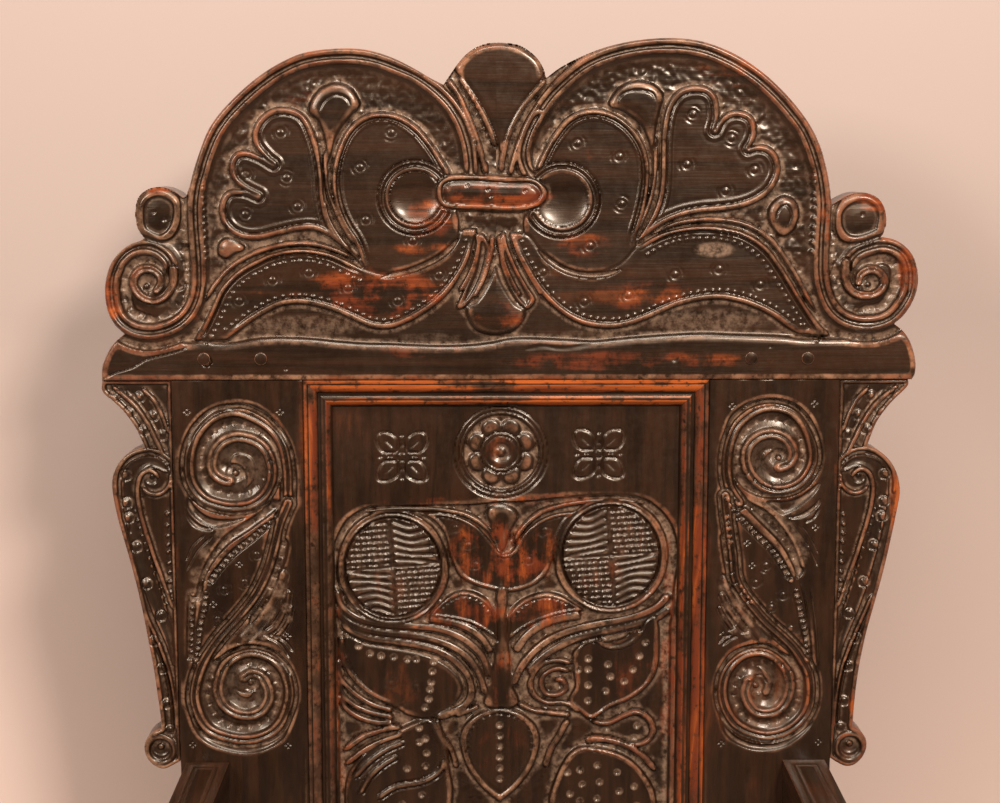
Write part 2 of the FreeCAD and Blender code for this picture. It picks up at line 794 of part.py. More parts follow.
side_bar(
    "seat_rail", "rail_thickness", *RAIL,
    side_rail_leg_pegs("side_rail_leg_hole", "fit") + side_rail_post_pegs("side_rail_post_hole", "fit")
    + side_seat_rods("side_rail_seat_hole", "fit"),
)
side_bar(
    "stretcher", "stretcher_thickness", *STRETCHER,
    side_stretcher_leg_peg("side_low_leg_hole", "fit") + side_stretcher_post_peg("side_low_post_hole", "fit"),
)

# Front legs: one square billet each, turned between the blocks that take the joints.
# A turned stretch is a plain column between two rings: (share of its height, share of the half square).
column_shares = [
    (0.000, 0.80), (0.055, 0.80), (0.090, 0.60), (0.125, 0.76), (0.160, 0.64),
    (0.850, 0.64), (0.880, 0.74), (0.910, 0.60), (0.950, 0.80), (1.000, 0.80),
]
foot_shares = [(0.00, 0.82), (0.60, 0.82), (0.74, 0.64), (0.86, 0.84), (1.00, 0.84)]
block_clear_share = 1.5
block_ease_share = 0.11


def turning(shares, bottom, top):
    return [(f"front_leg_square / 2 * {wide}", f"{bottom} + ({top} - ({bottom})) * {high}") for high, wide in shares]


def block(bottom, top):
    """The profile swings wide of the square block, and eases its corners at both ends."""
    wide = f"front_leg_square / 2 * {block_clear_share}"
    ease = f"front_leg_square * {block_ease_share}"
    return [(wide, f"{bottom} + {ease}"), (wide, f"{top} - {ease}")]


leg_profile = [(0, 0)]
leg_profile += turning(foot_shares, "0", "low_block_bottom")
leg_profile += block("low_block_bottom", "low_block_top")
leg_profile += turning(column_shares, "low_block_top", "block_bottom")
leg_profile += block("block_bottom", "block_top")
leg_profile += turning(column_shares, "block_top", "arm_under")
leg_profile += [("arm_pin_radius", "arm_under"), ("arm_pin_radius", "arm_under + arm_pin_length"),
                (0, "arm_under + arm_pin_length")]

turned = document.addObject("PartDesign::Body", "leg_turned")
turned_sketch = outline_sketch(turned, "leg_profile", "XZ_Plane", leg_profile)
revolution = turned.newObject("PartDesign::Revolution", "leg_revolution")
revolution.Profile = turned_sketch
revolution.ReferenceAxis = (turned_sketch, ["V_Axis"])
revolution.Angle = 360
turned_sketch.Visibility = False
move(turned, ("leg_middle_x", "leg_middle_y", 0))
billet = box("leg_billet", ("leg_inner", "leg_front", 0),
             ("front_leg_square", "front_leg_square", "arm_under + arm_pin_length"))


def arm_pin_peg(name, extra):
    return peg(name, ("leg_middle_x + arm_front_width / 2 + peg_stand - peg_length", "leg_middle_y",
                      "arm_under + arm_pin_length / 2"), f"peg_radius + {extra}", "peg_length", "x")


right_leg = cut(
    "right_front_leg", common("leg_blank", turned, billet),
    across_tenon(mortise, "leg_rail_mortise", "leg_inner", FRONT_TENON_Y, *RAIL),
    across_tenon(mortise, "leg_stretcher_mortise", "leg_inner", FRONT_TENON_Y, *STRETCHER),
    side_tenons("leg_side_mortise", *RAIL, "fit"), side_tenons("leg_low_mortise", *STRETCHER, "fit"),
    *front_rail_pegs("leg_rail_hole", "fit"), *side_rail_leg_pegs("leg_side_hole", "fit"),
    *front_stretcher_peg("leg_low_hole", "fit"), *side_stretcher_leg_peg("leg_low_side_hole", "fit"),
    arm_pin_peg("leg_pin_hole", "fit"),
)
keep_pair("front_leg", right_leg)

# Arms: shaped in side view and in plan, tenoned to the posts and bored for the legs' pins.
# The nose runs from the leg's front face to the tip. Its spots are shares of the nose's length forward
# and of the arm's front depth up from its underside.
arm_sag_share = 0.62
arm_arch_share = 0.42
arm_waist_share = 0.07
arm_crown_share = 1.03
nose_shares = [
    ((1, 0.05), (0.74, 0.72)),
    ((0.35, -0.22), (0.80, -0.26)),
    ((0, 0), (0.10, -0.17)),
]
nose_start_share = 0.94


def nose_spot(share):
    return f"leg_front - arm_nose * {share[0]}", f"arm_under + arm_front_depth * {share[1]}"


arm_side_view = [
    ("arm_root_y", "arm_root_z"),
    ("leg_back", "arm_root_z - arm_fall",
     ("(arm_root_y + leg_back) / 2", f"arm_root_z - arm_fall * {arm_sag_share}")),
    nose_spot((0, nose_start_share)) + (("leg_middle_y", f"arm_under + arm_front_depth * {arm_crown_share}"),),
]
arm_side_view += [nose_spot(end) + (nose_spot(middle),) for end, middle in nose_shares]
arm_side_view += [
    ("leg_back", "arm_under"),
    ("post_front + (arm_level - arm_back_depth) * sin(back_rake * 1deg)",
     "seat_height + (arm_level - arm_back_depth) * cos(back_rake * 1deg)",
     ("(leg_back + post_front) / 2", f"arm_under + arm_front_depth * {arm_arch_share}")),
]


def arm_edge(sign):
    """Back end, waist and front end of one long edge of the arm, seen from above."""
    back = f"arm_back_x {sign} arm_back_width / 2"
    front = f"leg_middle_x {sign} arm_front_width / 2"
    waist = f"({back} + {front}) / 2 - ({sign}1) * arm_front_width * {arm_waist_share}"
    return (back, "arm_root_y + overrun"), (waist, "(arm_root_y + leg_front) / 2"), (front, "leg_front")


outer_back, outer_waist, outer_front = arm_edge("+")
inner_back, inner_waist, inner_front = arm_edge("-")
arm_plan = [
    outer_back,
    outer_front + (outer_waist,),
    inner_front + (("leg_middle_x", "arm_tip"),),
    inner_back + (inner_waist,),
]
arm_slab = prism("arm_slab", "YZ_Plane", arm_side_view, ("arm_back_x - arm_front_width", 0, 0),
                 "leg_middle_x - arm_back_x + 2 * arm_front_width")
arm_column = prism("arm_column", "XY_Plane", arm_plan, (0, 0, "arm_under - arm_front_depth"),
                   "arm_root_z - arm_under + 2 * arm_front_depth")
arm_blank = fuse(
    "arm_blank", common("arm_shape", arm_slab, arm_column),
    raked(group("arm_tenon", arm_tenon(box, "arm_tenon_box"))),
)
arm_bore = rod("arm_bore", ("leg_middle_x", "leg_middle_y", "arm_under - overrun"), "arm_pin_radius + fit",
               "arm_pin_length + overrun + fit", "z")
right_arm = cut(
    "right_arm", arm_blank, arm_bore, arm_pin_peg("arm_front_hole", "fit"),
    raked(group("arm_back_hole", arm_tenon_peg("arm_back_hole_rod", "fit"))),
)
keep_pair("arm", right_arm)


# Seat: three boards laid across the rails, notched round the legs and posts, with rounded outer edges

def seat_edge_x(place):
    return f"side_back_x + rail_thickness / 2 + seat_overhang + splay * (post_front - ({place}))"


def rounded_outside(name, item):
    """Rounds the upper edges at the front and at the two sides."""
    document.recompute()
    top = value("seat_height")
    small = value("fit")
    radius = value("seat_edge_radius")
    picked = []
    for index, edge in enumerate(item.Shape.Edges, 1):
        middle = edge.CenterOfMass
        along = edge.tangentAt(edge.FirstParameter)
        on_top = abs(middle.z - top) < small
        at_front = abs(middle.y - value("seat_front")) < small
        at_side = abs(middle.x) > value("post_outer") and abs(along.y) > abs(along.x)
        if on_top and (at_front or at_side):
            picked.append((index, radius, radius))
    result = document.addObject("Part::Fillet", name)
    result.Base = item
    result.Edges = picked
    return result


def seat_board(name, right_corners, rods):
    left_corners = [(f"-({across})", along) for across, along in reversed(right_corners)]
    blank = prism(name + "_blank", "XY_Plane", right_corners + left_corners, (0, 0, "rail_top"),
                  "seat_board_thickness")
    others = [mirrored(f"{name}_hole_left_{index}", item) for index, item in enumerate(rods)]
    keep(name, cut(name, rounded_outside(name + "_rounded", blank), *rods, *others))


AHEAD_OF_FIRST = "first_joint_y - seat_board_gap / 2"
BEHIND_FIRST = "first_joint_y + seat_board_gap / 2"
AHEAD_OF_SECOND = "second_joint_y - seat_board_gap / 2"
BEHIND_SECOND = "second_joint_y + seat_board_gap / 2"
BEHIND_LEG = "leg_back + seat_board_gap"
AHEAD_OF_POST = "post_front - seat_board_gap"
side_holes = side_seat_rods("seat_side_hole", "fit")
seat_board(
    "seat_board_front",
    [("leg_inner - seat_board_gap", "seat_front"), ("leg_inner - seat_board_gap", BEHIND_LEG),
     (seat_edge_x(BEHIND_LEG), BEHIND_LEG), (seat_edge_x(AHEAD_OF_FIRST), AHEAD_OF_FIRST)],
    [front_seat_rod("seat_front_hole", "fit"), side_holes[0]],
)
seat_board(
    "seat_board_middle",
    [(seat_edge_x(BEHIND_FIRST), BEHIND_FIRST), (seat_edge_x(AHEAD_OF_SECOND), AHEAD_OF_SECOND)],
    [side_holes[1]],
)
seat_board(
    "seat_board_back",
    [(seat_edge_x(BEHIND_SECOND), BEHIND_SECOND), (seat_edge_x(AHEAD_OF_POST), AHEAD_OF_POST),
     ("post_inner - seat_board_gap", AHEAD_OF_POST),
     ("post_inner - seat_board_gap", "post_front + seat_back_reach")],
    [back_seat_rod("seat_back_hole", "fit"), side_holes[2]],
)

# Pegs: round oak pins in the same places as their holes
keep_both_sides("crest_pegs", raked(group("right_crest_pegs", *crest_peg_rods("crest_peg", "0"))))
keep_both_sides("lower_back_rail_pegs", raked(group("right_lower_pegs", *lower_peg_rods("lower_peg", "0"))))
keep_both_sides("front_rail_pegs", group("right_front_rail_pegs", *front_rail_pegs("front_rail_peg", "0")))
keep_both_sides("back_rail_pegs", group("right_back_rail_pegs", *back_rail_pegs("back_rail_peg", "0")))
keep_both_sides("side_rail_pegs", group(
    "right_side_rail_pegs", *side_rail_leg_pegs("side_rail_leg_peg", "0"),
    *side_rail_post_pegs("side_rail_post_peg", "0"),
))
keep_both_sides("stretcher_pegs", group(
    "right_stretcher_pegs", *front_stretcher_peg("front_stretcher_peg", "0"),
    *back_stretcher_peg("back_stretcher_peg", "0"), *side_stretcher_leg_peg("side_low_leg_peg", "0"),
    *side_stretcher_post_peg("side_low_post_peg", "0"),
))
keep_both_sides("arm_pegs", group(
    "right_arm_pegs", arm_pin_peg("arm_pin_peg", "0"),
    raked(group("arm_tenon_peg_right", arm_tenon_peg("arm_tenon_peg", "0"))),
))
keep_both_sides("seat_board_pegs", group(
    "right_seat_board_pegs", front_seat_rod("seat_front_peg", "0"), back_seat_rod("seat_back_peg", "0"),
    *side_seat_rods("seat_side_peg", "0"),
))

document.recompute()
for item in document.Objects:
    if "Invalid" in item.State or "Error" in item.State:
        raise RuntimeError(f"{item.Label} failed: {item.State}")
for name, item in pieces.items():
    if item.Shape.isNull() or not item.Shape.isValid() or not item.Shape.Solids:
        raise RuntimeError(f"{name} has no valid solid")

os.makedirs("parts", exist_ok=True)
for name, item in pieces.items():
    item.Shape.exportStep(f"parts/{name}.step")
    bounds = item.Shape.BoundBox
    print(f"{name}: {len(item.Shape.Solids)} solids, {item.Shape.Volume / 1000:.1f} cm3, "
          f"{bounds.XLength:.1f} x {bounds.YLength:.1f} x {bounds.ZLength:.1f}")
whole = Part.makeCompound([item.Shape for item in pieces.values()]).BoundBox
print(f"whole: X {whole.XMin:.1f} {whole.XMax:.1f}, Y {whole.YMin:.1f} {whole.YMax:.1f}, "
      f"Z {whole.ZMin:.1f} {whole.ZMax:.1f}")
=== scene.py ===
import json
import math

import bmesh
import bpy
import numpy as np
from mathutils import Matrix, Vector

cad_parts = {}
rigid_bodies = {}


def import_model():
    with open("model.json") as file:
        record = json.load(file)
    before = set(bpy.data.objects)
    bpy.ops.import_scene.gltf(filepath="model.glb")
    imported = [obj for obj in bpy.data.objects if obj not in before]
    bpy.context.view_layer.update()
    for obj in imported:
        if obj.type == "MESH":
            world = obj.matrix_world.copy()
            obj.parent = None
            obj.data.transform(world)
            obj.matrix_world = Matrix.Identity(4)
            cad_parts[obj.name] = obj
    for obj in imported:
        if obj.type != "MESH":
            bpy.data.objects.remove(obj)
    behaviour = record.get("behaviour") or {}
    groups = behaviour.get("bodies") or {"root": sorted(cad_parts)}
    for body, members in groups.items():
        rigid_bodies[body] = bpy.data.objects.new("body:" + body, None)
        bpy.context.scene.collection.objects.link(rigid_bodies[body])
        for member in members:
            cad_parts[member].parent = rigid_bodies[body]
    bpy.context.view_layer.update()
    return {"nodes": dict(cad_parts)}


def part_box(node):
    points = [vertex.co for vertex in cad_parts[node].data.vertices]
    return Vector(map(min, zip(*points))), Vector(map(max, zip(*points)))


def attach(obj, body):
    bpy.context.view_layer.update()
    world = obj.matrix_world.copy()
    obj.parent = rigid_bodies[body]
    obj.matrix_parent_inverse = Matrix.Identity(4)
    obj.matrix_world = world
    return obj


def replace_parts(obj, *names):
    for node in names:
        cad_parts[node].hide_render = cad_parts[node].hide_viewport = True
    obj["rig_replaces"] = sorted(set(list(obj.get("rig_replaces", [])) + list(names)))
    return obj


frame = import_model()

# View, floor and light.
# The chair stands on a pale floor that sweeps up into a wall, and is seen from a little above the crest,
# so only the upper back and the arms' rear ends are in the picture.
EYE = Vector((-0.0243, -1.1120, 1.2857))
EYE_DOWN = math.radians(13.917)
EYE_RIGHT = math.radians(0.811)
EYE_ROLL = math.radians(-0.096)
LENS = 63.0
LENS_BACK = 36.0
# painted light up the wall, brightest at about 0.4 m and darker at its foot and top: height in metres, colour
WALL_PAINTED_LIGHT = (
    (0.05, (0.40, 0.315, 0.280, 1.0)),
    (0.42, (0.74, 0.560, 0.485, 1.0)),
    (0.98, (0.425, 0.330, 0.292, 1.0)),
)
WALL_ROUGH = 0.95
WALL_FOOT, WALL_COVE, COVE_STEPS = 0.31, 0.14, 12
FLOOR_NEAR, WALL_TOP, WALL_HALF = -4.0, 4.0, 4.0
# name, place, point it shines at, size across and up in metres, watts, tint
LAMPS = (
    ("lamp_right", (0.95, -1.75, 2.45), (0, 0.2, 1.0), (0.45, 0.45), 74, (1.0, 0.90, 0.80)),
    ("lamp_left", (-1.5, -1.4, 2.1), (0, 0.2, 1.0), (0.6, 0.6), 38, (1.0, 0.91, 0.82)),
    ("lamp_above", (0.0, -0.55, 2.35), (0, 0.3, 1.0), (0.9, 0.4), 21, (1.0, 0.92, 0.83)),
)
ROOM_TINT, ROOM_LIGHT = (1.0, 0.78, 0.64, 1.0), 0.14

camera_data = bpy.data.cameras.new("camera")
camera_data.lens = LENS
camera_data.sensor_width = LENS_BACK
camera = bpy.data.objects.new("camera", camera_data)
bpy.context.scene.collection.objects.link(camera)
camera.location = EYE
camera.rotation_euler = (math.radians(90) - EYE_DOWN, EYE_ROLL, -EYE_RIGHT)
bpy.context.scene.camera = camera
bpy.context.scene.view_settings.view_transform = "Standard"


def linked(tree, kind, **settings):
    """A shader node with its settings and inputs: a plain number or colour is set, a socket is linked."""
    node = tree.nodes.new(kind)
    for word, setting in settings.pop("set", {}).items():
        setattr(node, word, setting)
    for word, given in settings.items():
        socket = node.inputs[int(word[1:])] if word[0] == "_" else node.inputs[word.replace("_", " ")]
        if isinstance(given, bpy.types.NodeSocket):
            tree.links.new(given, socket)
        else:
            socket.default_value = given
    return node


def new_finish(name):
    """A new material, with its node tree, its shader and the place of each point."""
    finish = bpy.data.materials.new(name)
    finish.use_nodes = True
    tree = finish.node_tree
    return finish, tree, tree.nodes["Principled BSDF"], linked(tree, "ShaderNodeTexCoord").outputs["Object"]


def wall_paint_with_painted_light():
    """Matt paint, with painted light that brightens and darkens its colour up the wall. It is seen from its front
    only, so that the chair's back shows when the camera stands behind it."""
    paint, tree, shader, place = new_finish("wall_paint_with_painted_light")
    shader.inputs["Roughness"].default_value = WALL_ROUGH
    height = linked(tree, "ShaderNodeSeparateXYZ", _0=place).outputs["Z"]
    # painted light: the wall's colour brightens and darkens with height
    painted_light_ramp = linked(tree, "ShaderNodeValToRGB", Fac=height)
    painted_light_ramp.color_ramp.elements.new(WALL_PAINTED_LIGHT[1][0])
    for stop, (level, colour) in zip(painted_light_ramp.color_ramp.elements, WALL_PAINTED_LIGHT):
        stop.position, stop.color = level, colour
    tree.links.new(painted_light_ramp.outputs["Color"], shader.inputs["Base Color"])
    one_sided = linked(tree, "ShaderNodeMixShader", _0=linked(tree, "ShaderNodeNewGeometry").outputs["Backfacing"],
                       _1=shader.outputs[0], _2=linked(tree, "ShaderNodeBsdfTransparent").outputs[0])
    tree.links.new(one_sided.outputs[0], tree.nodes["Material Output"].inputs["Surface"])
    return paint


def grown_parts(made, kind):
    """What an extrusion made, of one kind."""
    return [item for item in made["geom"] if isinstance(item, kind)]


def sweep_backdrop():
    """Floor, cove and wall in one sheet, extruded across from a side profile."""
    profile = [(FLOOR_NEAR, 0.0), (WALL_FOOT, 0.0)]
    for step in range(1, COVE_STEPS + 1):
        turn = math.radians(90 * step / COVE_STEPS)
        profile.append((WALL_FOOT + WALL_COVE * math.sin(turn), WALL_COVE * (1 - math.cos(turn))))
    profile.append((WALL_FOOT + WALL_COVE, WALL_TOP))
    bm = bmesh.new()
    spots = [bm.verts.new((-WALL_HALF, y, z)) for y, z in profile]
    edges = [bm.edges.new(pair) for pair in zip(spots, spots[1:])]
    swept = bmesh.ops.extrude_edge_only(bm, edges=edges)
    bmesh.ops.translate(bm, verts=grown_parts(swept, bmesh.types.BMVert), vec=(2 * WALL_HALF, 0.0, 0.0))
    bm.normal_update()
    if sum(face.normal.z for face in bm.faces) < 0:
        bmesh.ops.reverse_faces(bm, faces=bm.faces)
    mesh = bpy.data.meshes.new("backdrop")
    bm.to_mesh(mesh)
    bm.free()
    for face in mesh.polygons:
        face.use_smooth = True
    mesh.materials.append(wall_paint_with_painted_light())
    sheet = bpy.data.objects.new("backdrop", mesh)
    bpy.context.scene.collection.objects.link(sheet)


sweep_backdrop()
for name, place, aim, width, power, tint in LAMPS:
    lamp = bpy.data.lights.new(name, "AREA")
    lamp.shape = "RECTANGLE"
    lamp.size, lamp.size_y = width
    lamp.energy, lamp.color = power, tint
    holder = bpy.data.objects.new(name, lamp)
    bpy.context.scene.collection.objects.link(holder)
    holder.location = place
    holder.rotation_euler = (Vector(aim) - Vector(place)).to_track_quat("-Z", "Y").to_euler()
world = bpy.data.worlds.new("room")
world.use_nodes = True
world.node_tree.nodes["Background"].inputs["Color"].default_value = ROOM_TINT
world.node_tree.nodes["Background"].inputs["Strength"].default_value = ROOM_LIGHT
bpy.context.scene.world = world

# Crest rail.
# One thick oak board over both posts, sawn to two arches with a bud between them and a scroll at each end,
# its face carved in sunk relief with a V tool and gouges, the ground punched, and three centuries of wax on it.
LEAN = math.radians(6)
# where the back bends, and from there up to the crest's joint, in metres
BEND_Y, BEND_Z = 0.15272, 0.430
BACK_LENGTH = 0.548
# millimetres from here on
CREST_THICKNESS = 38.0
CUT_AWAY, CUT_FROM = -7.0, -1.0
NO_LENGTH = 1e-9
EDGE_DEEPEST = 6
JOINT_SLIP = 0.05
# worn from 0 to 1, which also gives a painted highlight: the front edge, and the eased edge at the back
FRONT_EDGE_WORN, BACK_EDGE_WORN = 0.85, 0.5
# how far a point has to stand above or below its surroundings, and over what height it gets its full wear and
# painted highlight, or its full dust
PROUD_FROM, PROUD_OVER = 0.1, 0.8
HOLLOW_FROM, HOLLOW_OVER = 0.15, 0.9


def on_back(across, up, into):
    """Millimetres across, up the leaning back from the crest's joint, and into its thickness, as metres in place."""
    across, up, into = (np.asarray(part, float) / 1000 for part in (across, up, into))
    up = up + BACK_LENGTH
    return np.stack([
        across + 0 * up,
        BEND_Y + up * math.sin(LEAN) + into * math.cos(LEAN),
        BEND_Z + up * math.cos(LEAN) - into * math.sin(LEAN),
    ], axis=-1)


def line_through(points, closed=False, step=0.8):
    """A smooth line through a carver's marks. A mark given twice is a corner."""
    runs, run = [], []
    for mark in points:
        if run and tuple(run[-1]) == tuple(mark):
            runs.append(run)
            run = []
        run.append(mark)
    runs.append(run)
    if closed and len(runs) == 1:
        ring = [run[-1]] + run + [run[0], run[1]]
        chains = [np.array(ring, float)]
    else:
        if closed:
            runs[-1].append(points[0])
        chains = []
        for run in (run for run in runs if len(run) > 1):
            marks = np.array(run, float)
            chains.append(np.vstack([2 * marks[0] - marks[1], marks, 2 * marks[-1] - marks[-2]]))
    parts = []
    for chain in chains:
        for a, b, c, d in zip(chain, chain[1:], chain[2:], chain[3:]):
            count = max(2, int(math.dist(b, c) / step))
            t = np.linspace(0, 1, count, endpoint=False)[:, None]
            parts.append(0.5 * (2 * b + (c - a) * t + (2 * a - 5 * b + 4 * c - d) * t ** 2
                                + (3 * b - a - 3 * c + d) * t ** 3))
        if not closed:
            parts.append(chain[-2][None])
    return np.vstack(parts)


def ring_through(points):
    return line_through(points, closed=True)


def shifted(line, distance):
    """A line moved sideways, to its left where the distance is positive."""
    along = np.gradient(line, axis=0)
    along /= np.maximum(np.hypot(along[:, 0], along[:, 1]), NO_LENGTH)[:, None]
    return line + distance * np.stack([-along[:, 1], along[:, 0]], axis=1)


def lengths_along(line):
    """The length of the line up to each of its points."""
    return np.concatenate([[0], np.cumsum(np.hypot(*np.diff(line, axis=0).T))])


def ring_line(centre, wide, high, start=0, stop=360):
    """A ring, or an arc of it between two angles in degrees."""
    turn = np.radians(np.linspace(start, stop, max(16, int(abs(stop - start) / 4))))
    return np.stack([centre[0] + wide * np.cos(turn), centre[1] + high * np.sin(turn)], axis=1)


def softened(grid, passes, width):
    """A grid of levels, each made the mean of those up to width cells away, a number of times over."""
    for _ in range(passes):
        for axis in (0, 1):
            padded = np.pad(grid, [(width, width) if axis == side else (0, 0) for side in (0, 1)], mode="edge")
            total = np.cumsum(padded, axis=axis)
            total = np.insert(total, 0, 0, axis=axis)
            span = 2 * width + 1
            if axis == 0:
                grid = (total[span:] - total[:-span]) / span
            else:
                grid = (total[:, span:] - total[:, :-span]) / span
    return grid


class CarvedFace:
    """A board's face as a net of points, and the carver's level at each: 0 is the board's face, in millimetres."""

    # millimetres and degrees: the eye punch, and the dot in a struck ring
    EYE_RING, EYE_BEAD, EYE_ARC = 3.1, 1.7, 44
    DOT, DOT_RISE = 2.2, 0.8
    # shares: how narrow a cut ends, and how much the beads of a row differ in place, size and height
    THINNEST = 0.03
    PLACE_SLIP, SIZE_SLIP, RISE_SLIP = 0.08, 0.15, 0.2

    def __init__(self, across, up, seed):
        self.across, self.up = np.asarray(across, float), np.asarray(up, float)
        self.u, self.v = np.meshgrid(self.across, self.up)
        self.level = np.zeros_like(self.u)
        self.bare, self.lying = np.zeros_like(self.u), np.zeros_like(self.u)
        self.hand = np.random.default_rng(seed)

    def window(self, low, high):
        """The part of the net between two corners."""
        first, last = np.searchsorted(self.across, (low[0], high[0]))
        bottom, top = np.searchsorted(self.up, (low[1], high[1]))
        return slice(bottom, top), slice(first, last)

    def steps(self, line, reach, away):
        """Goes along a line and writes each point's distance to it in away. For each straight step it gives the part
        of the net near it, the points nearer to it than to the steps before, its number, start and direction, and
        how far along it each point lies."""
        for number, (a, b) in enumerate(zip(line, line[1:])):
            step = np.hypot(*(b - a))
            if step < NO_LENGTH:
                continue
            part = self.window(np.minimum(a, b) - reach, np.maximum(a, b) + reach)
            du, dv = self.u[part] - a[0], self.v[part] - a[1]
            run = (b - a) / step
            share = np.clip(du * run[0] + dv * run[1], 0, step)
            gap = np.hypot(du - share * run[0], dv - share * run[1])
            closer = gap < away[part]
            away[part][closer] = gap[closer]
            yield part, closer, number, a, run, share

    def near(self, line, reach):
        """Each point's distance to a line, no more than reach, its side (1 left, -1 right) and its share along."""
        away = np.full(self.u.shape, float(reach))
        side, along = np.ones(self.u.shape), np.zeros(self.u.shape)
        starts = lengths_along(line)
        for part, closer, number, a, run, share in self.steps(line, reach, away):
            turned_to = run[0] * (self.v[part] - a[1]) - run[1] * (self.u[part] - a[0])
            side[part][closer] = np.sign(turned_to)[closer]
            along[part][closer] = ((starts[number] + share) / starts[-1])[closer]
        return away, side, along

    def within(self, outline):
        """True at the points inside a closed outline."""
        inside = np.zeros(self.u.shape, bool)
        for a, b in zip(outline, np.roll(outline, -1, axis=0)):
            if a[1] == b[1]:
                continue
            bottom, top = np.searchsorted(self.up, sorted((a[1], b[1])))
            crossing = a[0] + (self.up[bottom:top] - a[1]) * (b[0] - a[0]) / (b[1] - a[1])
            for row, column in zip(range(bottom, top), np.searchsorted(self.across, crossing)):
                inside[row, :column] ^= True
        return inside

    def depth_in(self, outline, reach):
        """Distance in from a closed outline, negative outside it."""
        away = self.near(np.vstack([outline, outline[:1]]), reach)[0]
        return np.where(self.within(outline), away, -away)

    def shape(self, outline, profile, wall=1.8):
        """Cuts the inside of an outline to a profile of (distance in, level) pairs, with a steep wall round it."""
        depths, levels = zip(*profile)
        inward = self.depth_in(outline, max(depths) + wall + 2)
        blend = np.clip((inward + wall) / wall, 0, 1)
        blend = blend * blend * (3 - 2 * blend)
        self.level += blend * (np.interp(inward, depths, levels) - self.level)

    def run(self, line, profile, ends=0.0, wall=1.4, outline=None):
        """A moulded run along a line: its profile is (distance to the left, level) pairs across it. Where an outline
        is given, the run is cut only inside it."""
        offsets, levels = zip(*profile)
        away, side, along = self.near(line, max(abs(offset) for offset in offsets) + wall)
        offset = away * side
        outside = np.maximum(offsets[0] - offset, offset - offsets[-1])
        blend = np.clip(1 - outside / wall, 0, 1)
        if ends:
            blend *= np.clip(np.minimum(along, 1 - along) / ends, 0, 1)
        if outline is not None:
            blend *= np.clip(self.depth_in(outline, 3.0) / 1.5, 0, 1)
        self.level += blend * (np.interp(offset, offsets, levels) - self.level)

    def tapered(self, line, half, ends):
        """Distance to a line, and how much of its full width a cut has: it thins over a share of its length."""
        away, side, along = self.near(line, half)
        return away, np.clip(np.minimum(along, 1 - along) / ends, self.THINNEST, 1) ** 0.5 if ends else 1

    def rib(self, line, half, top, foot, ends=0.08):
        """A rounded ridge left standing along a line."""
        away, thin = self.tapered(line, half, ends)
        bulge = np.sqrt(np.clip(1 - (away / (half * thin)) ** 2, 0, 1))
        raised = foot + (top - foot) * bulge * thin
        self.level = np.where(bulge > 0, np.maximum(self.level, raised), self.level)

    def vein(self, line, half, depth, ends=0.15):
        """A groove cut with a gouge or V tool along a line."""
        away, thin = self.tapered(line, half, ends)
        self.level -= depth * thin * np.clip(1 - (away / (half * thin)) ** 2, 0, 1)

    def dome(self, centre, radius, rise, power=0.5):
        """A round swelling, or a pit where the rise is negative."""
        part = self.window(np.subtract(centre, radius), np.add(centre, radius))
        away = np.hypot(self.u[part] - centre[0], self.v[part] - centre[1]) / radius
        self.level[part] += rise * np.clip(1 - away ** 2, 0, 1) ** power

    def pearls(self, line, spacing, radius, rise):
        """A row of small beads, or of punched pits where the rise is negative."""
        steps = lengths_along(line)
        places = np.arange(spacing / 2, steps[-1], spacing)
        places = places + self.hand.normal(0, spacing * self.PLACE_SLIP, len(places))
        for u, v in zip(np.interp(places, steps, line[:, 0]), np.interp(places, steps, line[:, 1])):
            size = radius * self.hand.uniform(1 - self.SIZE_SLIP, 1 + self.SIZE_SLIP)
            self.dome((u, v), size, rise * self.hand.uniform(1 - self.RISE_SLIP, 1 + self.RISE_SLIP))

    def eyes(self, marks, radius=6.2, depth=0.55):
        """The carver's punch mark: a small bead in a ring, between two crescents. A mark is (across, up, turn)."""
        for across, up, turn in marks:
            self.vein(ring_line((across, up), self.EYE_RING, self.EYE_RING), 1.3, depth, ends=0)
            self.dome((across, up), self.EYE_BEAD, 0.2)
            for facing in (turn, turn + 180):
                arc = ring_line((across, up), radius, radius, facing - self.EYE_ARC, facing + self.EYE_ARC)
                self.vein(arc, 1.1, depth, 0.3)

    def circled(self, marks, radius=4.2, depth=0.9):
        """A raised dot in a struck ring."""
        for mark in marks:
            self.vein(ring_line(mark, radius, radius), 1.0, depth, ends=0)
            self.dome(mark, self.DOT, self.DOT_RISE)

    def crescents(self, line, spacing, radius=2.8, depth=0.8, spread=62):
        """A row of gouge stamps, each a short arc that faces along the line."""
        steps = lengths_along(line)
        ahead = np.degrees(np.unwrap(np.arctan2(*np.gradient(line, axis=0).T[::-1])))
        for spot in np.arange(spacing / 2, steps[-1], spacing):
            middle = [np.interp(spot, steps, line[:, 0]), np.interp(spot, steps, line[:, 1])]
            turn = np.interp(spot, steps, ahead)
            self.vein(ring_line(middle, radius, radius, turn - spread, turn + spread), 1.05, depth, 0.3)

    def bowl(self, centre, radius, depth):
        """A smooth round hollow."""
        away = np.hypot(self.u - centre[0], self.v - centre[1]) / radius
        self.level = np.where(away < 1, -depth * np.clip(1 - away ** 2, 0, 1) ** 0.7, self.level)

    def flute(self, line, half, depth=2.4, ends=0.08):
        """A rounded reed left between two gouge cuts."""
        self.vein(line, half + 1.8, depth, ends)
        self.rib(line, half, 0.1, -depth, ends)

    def patch(self, across, up, wide, high, amount):
        """A soft-edged oval of the given amount."""
        return amount * np.clip(1.5 - ((self.u - across) / wide) ** 2 - ((self.v - up) / high) ** 2, 0, 1)

    def rub(self, *spots):
        """Where hands and cloths have rubbed the wax away: (across, up, half width, half height, amount)."""
        for spot in spots:
            self.bare = np.maximum(self.bare, self.patch(*spot))

